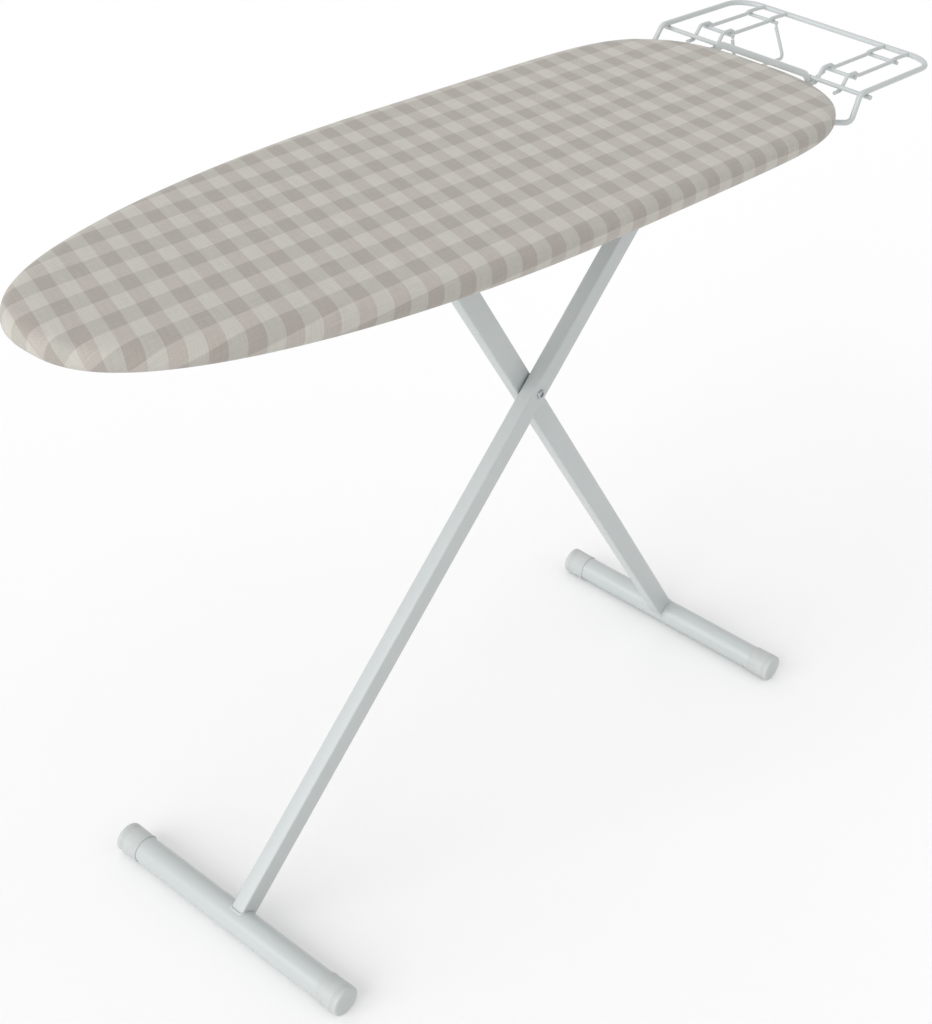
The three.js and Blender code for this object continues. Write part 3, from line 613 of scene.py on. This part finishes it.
def cover_mesh(count, gathers):
    """The cover's outer face: a crowned top, a soft edge and a gathered hem below the rim."""
    outline = board_outline(count)
    crown_rings, crown_softness, unevenness = 14, 2.2, 0.25 * MM
    top_edge = HEM_Z + CROWN_HEIGHT * MM
    points, flat = [], []
    for r in range(crown_rings):
        share = 1 - r / crown_rings
        for pair in outline:
            p = toward_spine(pair, CROWN_INSET * MM, share, top_edge)
            rise = (BOARD_TOP - top_edge) * (1 - (1 - share) ** crown_softness)
            p.z += rise + unevenness * noise.noise(Vector((p.x * 14, p.y * 18, 4.2))) * share
            points.append(p)
            flat.append(woven_place(p.x, p.y))
    run = -CROWN_INSET
    last = COVER_PROFILE[0]
    hem_start, fold_height = 15, 1.5
    for inset, height in COVER_PROFILE:
        run += hypot(inset - last[0], height - last[1])
        last = (inset, height)
        fold = max(0.0, (inset - hem_start) / 10) if height < 2 else 0.0
        for k, pair in enumerate(outline):
            around = 2 * pi * k / count
            swing = sin(gathers * around + 2.2 * noise.noise(Vector((around * 9, 1.3, 0))))
            size = 0.75 + 0.5 * noise.noise(Vector((around * 17, 7, 0)))
            lift = fold * fold_height * (1 + swing) * size
            points.append(inset_point(pair, inset * MM, HEM_Z + (height + max(lift, 0)) * MM))
            cloth_point = pair[0] + pair[1] * run * MM
            flat.append(woven_place(cloth_point.x, cloth_point.y))
    faces = [(a, d, c, b) for a, b, c, d in bands(len(points) // count, count)]
    mesh = mesh_of("cover_cloth", points, faces=faces)
    uv = mesh.uv_layers.new(name="cloth")
    for loop in mesh.loops:
        uv.data[loop.index].uv = flat[loop.vertex_index]
    return merge_doubles(mesh, 0.2 * MM)


def hem_stitches(pitch):
    """One row of lockstitch round the hem, under its casing."""
    path = [inset_point(pair, 21 * MM, HEM_Z + 0.1 * MM) for pair in board_outline(360)]
    mesh = path_mesh("hem_stitches", path, True)
    sizes = {"Pitch": pitch, "Thread": 0.25 * MM}
    return grown_piece("hem_stitches", mesh, stitch_tree(), sizes, THREAD, "board")


class IRONING_OT_cover(Builder, Operator):
    """The gingham cover, stretched over the pad and gathered below the rim"""

    bl_idname = "ironing.cover"
    bl_label = "Cover"

    def build(self, settings):
        cover = new_object("cover_cloth", cover_mesh(480, settings.cover.gathers))
        hem_top = HEM_Z + 12 * MM
        held = [v.index for v in cover.data.vertices if v.co.z < hem_top]
        relax_cloth(cover, held, pressure=0.9, frames=14, most=0.9 * MM)
        thickness = cover.modifiers.new("Cloth thickness", "SOLIDIFY")
        thickness.thickness = 0.5 * MM
        thickness.offset = -1
        settle_piece(cover, COTTON, "board", "cover")
        run = cover_run()
        hem = hem_stitches(settings.cover.stitch_pitch)


class IRONING_OT_pad(Builder, Operator):
    """The felt pad between the cover and the mesh top"""

    bl_idname = "ironing.pad"
    bl_label = "Pad"

    def build(self, settings):
        outline = board_outline(240)
        low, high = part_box("pad")
        thick = high[2] - low[2]
        profile = [(30, 0), (13, 0), (8.6, 0.02), (7.6, 0.15), (7.5, 0.3), (8.4, 0.45), (11, 0.57)]
        profile += [(14, 0.66), (17, 0.73), (20, 0.78), (25, 0.83), (31, 0.86)]
        rings = [[inset_point(p, i * MM, low[2] + h * thick) for p in outline] for i, h in profile]
        for share in (0.15, 0.35, 0.6, 0.85):
            z = low[2] + thick * (0.86 + 0.14 * (1 - (1 - share) ** 2))
            ring = [toward_spine(p, 31 * MM, share, z) for p in outline]
            for p in ring:
                p.z -= 0.2 * MM * abs(noise.noise(p * 40))
            rings.append(ring)
        mesh = mesh_of_rings("pad_felt", rings, True, True)
        pad = new_object("pad_felt", outwards(mesh))
        settle_piece(pad, FELT, "board", "pad")


# Geometry node trees --------------------


def geometry_node(tree, kind, inputs=None, **settings):
    """The first output of a new geometry node of this kind."""
    return add_node(tree, "GeometryNode" + kind, inputs, **settings).outputs[0]


def new_tree(name, floats, integers=()):
    """A geometry tree with these named inputs and a material, and the input sockets."""
    tree = bpy.data.node_groups.new(name, "GeometryNodeTree")
    sockets = [("Geometry", "Geometry")] + [(label, "Float") for label in floats]
    sockets += [(label, "Int") for label in integers] + [("Material", "Material")]
    for label, kind in sockets:
        tree.interface.new_socket(label, in_out="INPUT", socket_type="NodeSocket" + kind)
    tree.interface.new_socket("Geometry", in_out="OUTPUT", socket_type="NodeSocketGeometry")
    return tree, tree.nodes.new("NodeGroupInput").outputs


def end_tree(tree, given, last, smooth=True):
    """Closes a tree with real meshes that carry their material."""
    last = geometry_node(tree, "RealizeInstances", {"Geometry": last})
    if smooth:
        last = geometry_node(tree, "SetShadeSmooth", {"Geometry": last})
    painted = {"Geometry": last, "Material": given["Material"]}
    last = geometry_node(tree, "SetMaterial", painted)
    add_node(tree, "NodeGroupOutput", {0: last})
    return tree


def swept(tree, curve, section):
    """A section carried along a curve and closed at both ends."""
    inputs = {"Curve": curve, "Profile Curve": section, "Fill Caps": True}
    return geometry_node(tree, "CurveToMesh", inputs)


def grown_piece(name, mesh, tree, values, finish, body, *nodes):
    """A piece whose plain mesh is what the tree grows from a starting mesh."""
    obj = new_object(name, mesh)
    modifier = obj.modifiers.new(tree.name, "NODES")
    modifier.node_group = tree
    values["Material"] = material_of(finish)
    for item in tree.interface.items_tree:
        if item.item_type == "SOCKET" and item.in_out == "INPUT" and item.name in values:
            modifier[item.identifier] = values[item.name]
    obj.update_tag()
    depsgraph = bpy.context.evaluated_depsgraph_get()
    depsgraph.update()
    result = bpy.data.meshes.new_from_object(obj.evaluated_get(depsgraph))
    obj.modifiers.clear()
    obj.data = result
    result.name = name
    if not result.polygons:
        raise RuntimeError(name + " came out of its tree empty")
    return settle_piece(obj, finish, body, *nodes)


def path_mesh(name, points, closed=False, bends=None):
    """A chain of edges through points, with the bend radius wanted at each."""
    edges = [(i, i + 1) for i in range(len(points) - 1)]
    if closed:
        edges.append((len(points) - 1, 0))
    mesh = mesh_of(name, points, edges)
    bend = mesh.attributes.new("bend", "FLOAT", "POINT")
    bend.data.foreach_set("value", bends or [0.0] * len(points))
    return mesh


def wire_tree():
    """Round wire or tube along a chain of edges, bent to each corner's own radius."""
    found = bpy.data.node_groups.get("Bent wire")
    if found:
        return found
    tree, given = new_tree("Bent wire", ["Radius"])
    curve = geometry_node(tree, "MeshToCurve", {"Mesh": given["Geometry"]})
    bend = geometry_node(tree, "InputNamedAttribute", {"Name": "bend"}, data_type="FLOAT")
    corners = {"Curve": curve, "Count": 7, "Radius": bend, "Limit Radius": True}
    rounded = geometry_node(tree, "FilletCurve", corners, mode="POLY")
    ring = {"Resolution": 18, "Radius": given["Radius"]}
    section = geometry_node(tree, "CurvePrimitiveCircle", ring)
    return end_tree(tree, given, swept(tree, rounded, section))


def stitch_tree():
    """Short rounded stitches laid end to end along a closed chain of edges."""
    tree, given = new_tree("Stitch row", ["Pitch", "Thread"])
    curve = geometry_node(tree, "MeshToCurve", {"Mesh": given["Geometry"]})
    spacing = {"Curve": curve, "Length": given["Pitch"]}
    places = add_node(tree, "GeometryNodeCurveToPoints", spacing, mode="LENGTH").outputs
    half = math_node(tree, "MULTIPLY", given["Pitch"], 0.36)
    sizes = {"X": given["Thread"], "Y": given["Thread"], "Z": half}
    bead = geometry_node(tree, "MeshIcoSphere", {"Radius": 1.0, "Subdivisions": 1})
    copies = {key: places[key] for key in ("Points", "Rotation")}
    copies["Scale"] = add_node(tree, "ShaderNodeCombineXYZ", sizes).outputs[0]
    copies["Instance"] = bead
    return end_tree(tree, given, geometry_node(tree, "InstanceOnPoints", copies))


def weld_tree():
    """A small uneven weld bead at every vertex."""
    tree, given = new_tree("Weld beads", ["Size"], ["Seed"])
    points = geometry_node(tree, "MeshToPoints", {"Mesh": given["Geometry"]})
    ball = {"Radius": given["Size"], "Subdivisions": 3}
    bead = geometry_node(tree, "MeshIcoSphere", ball)
    spread = {0: (0.85, 0.85, 0.6), 1: (1.25, 1.2, 0.9), "Seed": given["Seed"]}
    random = add_node(tree, "FunctionNodeRandomValue", spread, data_type="FLOAT_VECTOR")
    copies = {"Points": points, "Instance": bead, "Scale": random.outputs[0]}
    return end_tree(tree, given, geometry_node(tree, "InstanceOnPoints", copies))


def expanded_sheet_tree():
    """Expanded metal: a lattice of diamonds, trimmed to the board's outline."""
    names = ("Diamond length", "Diamond width", "Strand width", "Strand height", "Trim")
    tree, given = new_tree("Expanded sheet", names, ["Cells"])

    def node(kind, inputs=None, **settings):
        return geometry_node(tree, kind, inputs, **settings)

    def result(operation, *values):
        return math_node(tree, operation, *values)

    side = result("MULTIPLY", given["Cells"], sqrt(0.5))
    count = result("ADD", given["Cells"], 1.0)
    grid = {"Size X": side, "Size Y": side, "Vertices X": count, "Vertices Y": count}
    lattice = {"Geometry": node("MeshGrid", grid), "Rotation": (0, 0, pi / 4)}
    cell = {"X": given["Diamond length"], "Y": given["Diamond width"], "Z": 1.0}
    spread = {
        "Geometry": node("Transform", lattice),
        "Scale": add_node(tree, "ShaderNodeCombineXYZ", cell).outputs[0],
        "Translation": ((NOSE_X + TAIL_X) / 2, 0, MESH_Z + 0.3 * MM),
    }
    sheet = node("Transform", spread)
    place = node("InputPosition")
    split = add_node(tree, "ShaderNodeSeparateXYZ", {"Vector": place})
    x = result("SUBTRACT", split.outputs["X"], WIDEST_X)
    half_width = result("SUBTRACT", HALF_WIDTH, given["Trim"])
    across = result("DIVIDE", result("ABSOLUTE", split.outputs["Y"]), half_width)
    width_term = result("POWER", across, SIDE_BLUNTNESS)

    def outside(reach, roundness):
        along = result("DIVIDE", result("ABSOLUTE", x), result("SUBTRACT", reach, given["Trim"]))
        total = result("ADD", result("POWER", along, roundness), width_term)
        return result("GREATER_THAN", total, 1.0)

    on_nose = result("LESS_THAN", x, 0.0)
    on_tail = result("SUBTRACT", 1.0, on_nose)
    beyond_nose = result("MULTIPLY", on_nose, outside(WIDEST_X - NOSE_X, NOSE_ROUNDNESS))
    beyond_tail = result("MULTIPLY", on_tail, outside(TAIL_X - WIDEST_X, TAIL_ROUNDNESS))
    waste = {"Geometry": sheet, "Selection": result("MAXIMUM", beyond_nose, beyond_tail)}
    trimmed = node("DeleteGeometry", waste, domain="POINT")
    strands = node("MeshToCurve", {"Mesh": trimmed})
    level = node("SetCurveNormal", {"Curve": strands}, mode="Z_UP")
    strand = {"Width": given["Strand width"], "Height": given["Strand height"]}
    section = node("CurvePrimitiveQuadrilateral", strand)
    return end_tree(tree, given, swept(tree, level, section), smooth=False)


# Board pieces --------------------


def wire_piece(name, radius, points, finish, body, *nodes, closed=False, bends=None):
    """A wire or tube of this radius in millimetres through points."""
    mesh = path_mesh(name, points, closed, bends)
    return grown_piece(name, mesh, wire_tree(), {"Radius": radius * MM}, finish, body, *nodes)


def bent_wire(name, radius, corners, node):
    """A coated wire through corners given as (station, y, z, bend radius) in millimetres."""
    points = [at(*corner[:3]) for corner in corners]
    bends = [corner[3] * MM for corner in corners]
    wire_piece(name, radius, points, STEEL, "board", node, bends=bends)


class IRONING_OT_mesh_top(Builder, Operator):
    """The expanded steel sheet that carries the pad and lets steam out"""

    bl_idname = "ironing.mesh_top"
    bl_label = "Mesh top"

    def build(self, settings):
        mesh_top = settings.mesh_top
        reach = (TAIL_X - NOSE_X) / mesh_top.diamond_length
        reach += 2 * HALF_WIDTH / mesh_top.diamond_width
        values = {
            "Diamond length": mesh_top.diamond_length,
            "Diamond width": mesh_top.diamond_width,
            "Strand width": mesh_top.strand_width,
            "Strand height": 0.6 * MM,
            "Trim": 6 * MM,
            "Cells": int(reach) + 4,
        }
        name, tree = "mesh_top_sheet", expanded_sheet_tree()
        start = path_mesh(name, [Vector((0, 0, 0)), Vector((0, 0, MM))])
        grown_piece(name, start, tree, values, STEEL, "board", "mesh_top")


class IRONING_OT_rim(Builder, Operator):
    """The tube that runs round the board, and the braces across it"""

    bl_idname = "ironing.rim"
    bl_label = "Rim and braces"

    def build(self, settings):
        path = [inset_point(pair, RIM_INSET, RIM_Z) for pair in board_outline(300)]
        wire_piece("rim_steel_tube", RIM_RADIUS, path, STEEL, "board", "rim_tube", closed=True)
        for place in ("front", "middle", "rear", "tail"):
            finished_node("brace_" + place, STEEL)


class IRONING_OT_rails(Builder, Operator):
    """The slotted rails for the sliding rod and the brackets for the fixed one"""

    bl_idname = "ironing.rails"
    bl_label = "Rails and brackets"

    def build(self, settings):
        for side in SIDES:
            finished_node("slide_rail_" + side, ZINC)
            finished_node("pivot_bracket_" + side, ZINC)


def release_spring():
    """A torsion spring: two turns of fine wire with a straight tail each way."""
    wire = 0.5
    centre, reach, outer = round_extent("lever_spring")
    station, z, radius = 360, centre[2] / MM, outer - wire
    first_y, rise = centre[1] / MM - reach + wire, 2 * (reach - wire)
    per_turn, turns = 20, 2
    points = [(station + 24, first_y, z + radius)]
    for i in range(turns * per_turn + 1):
        angle = pi / 2 + 2 * pi * i / per_turn
        y = first_y + rise * i / (turns * per_turn)
        points.append((station + radius * cos(angle), y, z + radius * sin(angle)))
    points.append((station - 20, points[-1][1], z + radius))
    path = [at(*p) for p in points]
    wire_piece("release_spring", wire, path, ZINC, "board", "lever_spring")


class IRONING_OT_release_lever(Builder, Operator):
    """The notched release yoke with its grip, rivets and spring"""

    bl_idname = "ironing.release_lever"
    bl_label = "Release lever"

    def build(self, settings):
        finished_node("release_yoke", ZINC, "release_lever", 0.3)
        finished_node("handle_arm", ZINC, "release_lever", 0.3)
        finished_node("handle_grip", NYLON, "release_lever", 0.8)
        for side in SIDES:
            finished_node("lever_rivet_" + side, ZINC, edge=0.3)
        release_spring()


# The iron rest: stations and heights of its wires in millimetres, and their radii
REST_Z = 942
REST_HALF = 152
REST_END = 1376.4
REST_WIRE = 3.6
CROSS_WIRE = 2.9
RIDGE_WIRE = 2.5
LOOP_WIRE = 2.3
SOLDER_GAP = 0.3
CLAMP_Y = 128
CLAMP_Z = 908.9
HOOK_STATION = 1086
HOOK_END = 1160
HOOK_Z = 909.6
HOOK_YS = (45, 61)
ARM_HOOK_Y = -40
LOOP_END_Y = 71
RIDGE_YS = {"inner": 77, "outer": 113}
TIE_STATIONS = {"front": 1231, "rear": 1341}
RIDGE_HIGH = 946.5
RIDGE_LOW = 941
CROSS_STATION = 1198.5
CROSS_Z = REST_Z - REST_WIRE - CROSS_WIRE - SOLDER_GAP
RAIL_INSIDE = REST_END - REST_WIRE - SOLDER_GAP
CROSS_UNDER = CROSS_Z - CROSS_WIRE - RIDGE_WIRE - SOLDER_GAP
RIDGE_FAR = 943.5
TIE_ZS = {"front": RIDGE_HIGH - 2 * RIDGE_WIRE - SOLDER_GAP}
TIE_ZS["rear"] = RIDGE_FAR - 2 * RIDGE_WIRE - SOLDER_GAP
LOOP_WELD_ZS = {place: z - RIDGE_WIRE - LOOP_WIRE for place, z in TIE_ZS.items()}


def outer_loop():
    """One long wire: hooked in below the tail, up behind it and round the far end."""
    left = [(1076, CLAMP_Y, CLAMP_Z, 0), (1130, CLAMP_Y, CLAMP_Z, 14), (1166, 155, CLAMP_Z, 10)]
    left += [(1181, REST_HALF, REST_Z, 10), (REST_END, REST_HALF, REST_Z, 36)]
    right = [(x, -y, z, bend) for x, y, z, bend in reversed(left)]
    bent_wire("outer_loop_wire", REST_WIRE, left + right, "rest_loop")


def ridge(name, y):
    """A long wire with a low hump near each end."""
    heights = [(1188, CROSS_UNDER, 0), (1203, CROSS_UNDER, 7)]
    heights += [(1214, RIDGE_HIGH, 6), (1233, RIDGE_HIGH, 6)]
    heights += [(1244, RIDGE_LOW, 9), (1326, RIDGE_LOW, 9)]
    heights += [(1334, RIDGE_FAR, 9), (1350, RIDGE_FAR, 9), (RAIL_INSIDE, REST_Z + 0.5, 0)]
    corners = [(station, y, z, bend) for station, z, bend in heights]
    bent_wire(name + "_wire", RIDGE_WIRE, corners, name)


def lower_wires():
    """The hanging loop below the left ridges, and the single arm opposite."""
    near, far = HOOK_YS
    loop = [
        (TIE_STATIONS["rear"], LOOP_END_Y, LOOP_WELD_ZS["rear"], 0),
        (1336, 48, 897, 9),
        (1208, near, 899, 30),
        (HOOK_END, near, HOOK_Z, 20),
        (HOOK_STATION, near, HOOK_Z, 7),
        (HOOK_STATION, far, HOOK_Z, 7),
        (HOOK_END, far, HOOK_Z, 20),
        (1226, 56, 904, 9),
        (TIE_STATIONS["front"], LOOP_END_Y, LOOP_WELD_ZS["front"], 0),
    ]
    bent_wire("hanging_loop_wire", LOOP_WIRE, loop, "hanging_loop")
    arm = [
        (TIE_STATIONS["front"], -LOOP_END_Y, LOOP_WELD_ZS["front"], 0),
        (1190, -57, HOOK_Z + 1, 12),
        (1150, ARM_HOOK_Y, HOOK_Z, 20),
        (HOOK_STATION, ARM_HOOK_Y, HOOK_Z, 0),
    ]
    bent_wire("rest_arm_wire", LOOP_WIRE, arm, "rest_arm")


def rest_welds():
    """Resistance welds wherever two wires of the rest cross."""
    spots = [at(CROSS_STATION, s * REST_HALF, REST_Z - REST_WIRE) for s in (1, -1)]
    for sign in (1, -1):
        for y in RIDGE_YS.values():
            spots.append(at(CROSS_STATION, sign * y, CROSS_Z - CROSS_WIRE))
            spots.append(at(RAIL_INSIDE, sign * y, REST_Z))
            for place, station in TIE_STATIONS.items():
                spots.append(at(station, sign * y, TIE_ZS[place] + RIDGE_WIRE))
        y = sign * LOOP_END_Y
        spots.append(at(TIE_STATIONS["front"], y, TIE_ZS["front"] - RIDGE_WIRE))
    spots.append(at(TIE_STATIONS["rear"], LOOP_END_Y, TIE_ZS["rear"] - RIDGE_WIRE))
    mesh, values = path_mesh("rest_welds", spots), {"Size": 2.1 * MM, "Seed": 7}
    grown_piece("rest_welds", mesh, weld_tree(), values, STEEL, "board")


class IRONING_OT_iron_rest(Builder, Operator):
    """The coated wires that carry a hot iron at the tail"""

    bl_idname = "ironing.iron_rest"
    bl_label = "Iron rest"

    def build(self, settings):
        outer_loop()
        ends = [(CROSS_STATION, reach, CROSS_Z, 0) for reach in (-159, 159)]
        bent_wire("cross_wire", CROSS_WIRE, ends, "rest_cross_wire")
        for side, sign in SIDES.items():
            for place, y in RIDGE_YS.items():
                ridge(f"ridge_{place}_{side}", sign * y)
            for place, station in TIE_STATIONS.items():
                ends = [(station, sign * reach, TIE_ZS[place], 0) for reach in (70, 117)]
                bent_wire(f"tie_{place}_{side}", RIDGE_WIRE, ends, f"ridge_tie_{place}_{side}")
        lower_wires()
        finished_node("rest_strap", STEEL, edge=0.5)
        rest_welds()


class IRONING_OT_rest_clamps(Builder, Operator):
    """The saddles and screws that hold the iron rest below the tail"""

    bl_idname = "ironing.rest_clamps"
    bl_label = "Rest clamps"

    def build(self, settings):
        for side in SIDES:
            finished_node("loop_strap_" + side, ZINC, edge=0.3)
            finished_node("loop_screw_" + side, ZINC, edge=0.2)
            finished_node("strap_screw_" + side, ZINC, edge=0.2)
        for name in ("hanging_loop", "rest_arm"):
            finished_node(name + "_strap", ZINC, edge=0.3)
            finished_node(name + "_screw", ZINC, edge=0.2)


# Legs and feet --------------------

LEGS = {"front": "pivot_rod", "rear": "slider_rod"}
CROSSING = Vector((NOSE_X + 770 * MM, 0, 603 * MM))
LEG_WIDTH = 30
LEG_CORNER = 3
TUBE_WALL = 1.5
CHAMFER = 0.8
CAP_RADIUS = 20
CAP_LENGTH = 36
CAP_PLAY = 0.25


def plain_rod(name, body):
    """A plain bright rod with chamfered ends."""
    centre, reach, radius = round_extent(name)
    profile = [(0, -reach), (radius - CHAMFER, -reach), (radius, CHAMFER - reach)]
    profile += [(r, -y) for r, y in reversed(profile)]
    turned_piece(name + "_steel", profile, centre, 32, ZINC, body, name)


class IRONING_OT_legs(Builder, Operator):
    """The two crossed legs with their top plugs, rods and clips"""

    bl_idname = "ironing.legs"
    bl_label = "Legs"

    def build(self, settings):
        for place, rod in LEGS.items():
            body = "leg_" + place
            finished_node(body + "_tube", STEEL, body, 0.5)
            finished_node(body + "_fitting", NYLON, body, 0.8)
            plain_rod(rod, body)
            for side in SIDES:
                finished_node(f"{rod}_clip_{side}", ZINC, body, 0.3)


class IRONING_OT_centre_bolt(Builder, Operator):
    """The bolt that the legs turn on, with its nut and washer"""

    bl_idname = "ironing.centre_bolt"
    bl_label = "Centre bolt"

    def build(self, settings):
        centre, reach, _radius = round_extent("centre_bolt")
        centre[1] -= reach * MM
        end = 2 * reach
        profile = [(0, 2.7), (2.7, 2.7), (3, 2.2), (3.1, 0.4), (3.5, 0), (4.4, 0.25), (5.4, 1)]
        profile += [(5.9, 1.8), (5.95, 2.7), (4, 2.8), (4, end - 0.8), (3.3, end), (0, end)]
        body = "leg_front"
        turned_piece("centre_pivot_bolt", profile, centre, 40, ZINC, body, "centre_bolt")
        finished_node("centre_nut", ZINC, body, 0.5)
        finished_node("centre_washer", PLASTIC, body, 0.2)


def foot_tube(place, node, body):
    centre, reach, radius = round_extent(node)
    bore = radius - TUBE_WALL
    profile = [(bore, -reach), (radius, -reach), (radius, reach), (bore, reach), (bore, -reach)]
    turned_piece(f"foot_{place}_steel", profile, centre, 64, STEEL, body, node)


def weld_collar(place, tube, body):
    """The painted weld that runs round the end of a leg where it meets its foot."""
    centre, _reach, radius = round_extent(tube)
    foot = Vector((centre[0], 0, centre[2]))
    low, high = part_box(f"leg_{place}_tube")
    middle = Vector((0, (low[1] + high[1]) / 2, 0))
    run = (CROSSING - foot).normalized()
    square = Vector((run.z, 0, -run.x))
    flat_u = LEG_WIDTH / 2 - LEG_CORNER
    flat_v = (high[1] - low[1]) / 2 / MM - LEG_CORNER
    path = []
    for i, (sign_u, sign_v) in enumerate(((1, 1), (-1, 1), (-1, -1), (1, -1))):
        for j in range(4):
            angle = pi / 2 * (i + j / 3)
            u = sign_u * flat_u + LEG_CORNER * cos(angle)
            v = sign_v * flat_v + LEG_CORNER * sin(angle)
            rise = sqrt(max(radius**2 - u**2, 0)) * MM
            path.append(foot + square * u * MM + run * rise + middle + Vector((0, v * MM, 0)))
    wire_piece(f"foot_{place}_weld", 2.1, path, STEEL, body, closed=True)


def foot_cap(node, sign, tube, body):
    """A cap with a rolled mouth, two shallow grip grooves and a slightly domed end."""
    centre, _reach, tube_radius = round_extent(tube)
    low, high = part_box(node)
    end = (high[1] if sign > 0 else -low[1]) / MM
    bore, mouth = tube_radius + CAP_PLAY, end - CAP_LENGTH
    sunk = CAP_RADIUS - 0.5
    profile = [(0, end - 5.5), (bore, end - 5.5), (bore, mouth), (CAP_RADIUS - 1.3, mouth)]
    profile += [(sunk, mouth + 0.3), (CAP_RADIUS - 0.1, mouth + 1)]
    profile += [(CAP_RADIUS - 0.1, mouth + 2.6), (sunk, mouth + 3.1)]
    for groove in (mouth + 25, mouth + 28):
        edges = [(CAP_RADIUS - 0.05, groove + side) for side in (-0.5, 0.5)]
        profile += [edges[0], (sunk, groove), edges[1]]
    corner = 4.5
    for i in range(9):
        angle = pi / 2 * i / 8
        r = CAP_RADIUS - corner * (1 - cos(angle))
        profile.append((r, end - 0.5 - corner * 0.62 * (1 - sin(angle))))
    profile += [(CAP_RADIUS - 9, end - 0.15), (0, end)]
    profile = [(r, sign * y) for r, y in profile]
    turned_piece(node + "_moulding", profile, centre, 64, PLASTIC, body, node, floor=0.0)


class IRONING_OT_feet(Builder, Operator):
    """The two foot tubes with a moulded cap on each end"""

    bl_idname = "ironing.feet"
    bl_label = "Feet"

    def build(self, settings):
        for place in LEGS:
            tube, body = f"foot_{place}_tube", "leg_" + place
            foot_tube(place, tube, body)
            weld_collar(place, tube, body)
            for side, sign in SIDES.items():
                foot_cap(f"foot_{place}_cap_{side}", sign, tube, body)


# Stage --------------------

CAMERA_TARGET = Vector((-0.090, 0.0, 0.450))
CAMERA_DISTANCE = 2.249
CAMERA_AZIMUTH = radians(-52.373)
CAMERA_ELEVATION = radians(33.820)
CAMERA_ROLL = radians(6.445)
CAMERA_LENS = 64.26
CAMERA_SHIFT = (0.0382, 0.0271)
SUN_SPREAD = radians(50)
SUN_RUN = Vector((0.92, -0.08, -0.39))
FLOOR_REACH = 40.0


def place_camera(scene):
    level = Vector((cos(CAMERA_AZIMUTH), sin(CAMERA_AZIMUTH), 0))
    back = Vector((level.y, -level.x, 0)) * cos(CAMERA_ELEVATION)
    back.z = sin(CAMERA_ELEVATION)
    upright = back.cross(level)
    right = level * cos(CAMERA_ROLL) + upright * sin(CAMERA_ROLL)
    up = upright * cos(CAMERA_ROLL) - level * sin(CAMERA_ROLL)
    data = bpy.data.cameras.new("view")
    data.lens = CAMERA_LENS
    data.shift_x, data.shift_y = CAMERA_SHIFT
    camera = bpy.data.objects.new("view", data)
    turn = Matrix((right, up, back)).transposed().to_4x4()
    place = CAMERA_TARGET + back * CAMERA_DISTANCE
    camera.matrix_world = Matrix.Translation(place) @ turn
    scene.collection.objects.link(camera)
    scene.camera = camera


def lay_floor():
    signs = ((-1, -1), (1, -1), (1, 1), (-1, 1))
    corners = [(x * FLOOR_REACH, y * FLOOR_REACH, 0) for x, y in signs]
    mesh = mesh_of("studio_floor", corners, faces=[(0, 1, 2, 3)])
    floor = new_object("studio_floor", mesh)
    paper = {"Base_Color": linear("#fbfbfb"), "Roughness": 0.9}
    mesh.materials.append(new_material("matt_studio_paper", **paper)[0])


def hang_sun(strength):
    """A broad light, like a large diffuser above the nose end."""
    data = bpy.data.lights.new("sun", "SUN")
    data.energy = strength
    data.angle = SUN_SPREAD
    light = new_object("sun", data)
    light.rotation_euler = SUN_RUN.to_track_quat("-Z", "Y").to_euler()


class IRONING_OT_stage(Builder, Operator):
    """A pale floor, a soft light and the camera"""

    bl_idname = "ironing.stage"
    bl_label = "Stage"

    def build(self, settings):
        scene = bpy.context.scene
        place_camera(scene)
        lay_floor()
        world = bpy.data.worlds.new("Even studio light")
        world.use_nodes = True
        sky = world.node_tree.nodes["Background"]
        sky.inputs["Color"].default_value = linear("#ffffff")
        sky.inputs["Strength"].default_value = settings.stage.sky_strength
        scene.world = world
        hang_sun(settings.stage.sun_strength)
        scene.view_settings.view_transform = "Standard"


OPERATORS = (IRONING_OT_stage, IRONING_OT_pad, IRONING_OT_cover, IRONING_OT_mesh_top)
OPERATORS += (IRONING_OT_rim, IRONING_OT_rails, IRONING_OT_release_lever, IRONING_OT_iron_rest)
OPERATORS += (IRONING_OT_rest_clamps, IRONING_OT_legs, IRONING_OT_centre_bolt, IRONING_OT_feet)


class IRONING_PT_board(Panel):
    bl_idname = "IRONING_PT_board"
    bl_label = "Ironing board"
    bl_space_type = "VIEW_3D"
    bl_region_type = "UI"
    bl_category = "Ironing board"

    def draw(self, context):
        settings = context.scene.ironing_board
        for group in (settings.cover, settings.mesh_top, settings.steel, settings.stage):
            box = self.layout.box()
            for name in group.__annotations__:
                box.prop(group, name)
        for operator in OPERATORS:
            self.layout.operator(operator.bl_idname)


CLASSES = (CoverSettings, MeshTopSettings, SteelSettings, StageSettings, IroningBoardSettings)
CLASSES += (*OPERATORS, IRONING_PT_board)


def register():
    for cls in CLASSES:
        bpy.utils.register_class(cls)
    Scene.ironing_board = PointerProperty(type=IroningBoardSettings)


def unregister():
    del Scene.ironing_board
    for cls in reversed(CLASSES):
        bpy.utils.unregister_class(cls)


def main():
    register()
    for operator in OPERATORS:
        name = operator.bl_idname.split(".")[1]
        getattr(bpy.ops.ironing, name)()


if __name__ == "__main__":
    main()
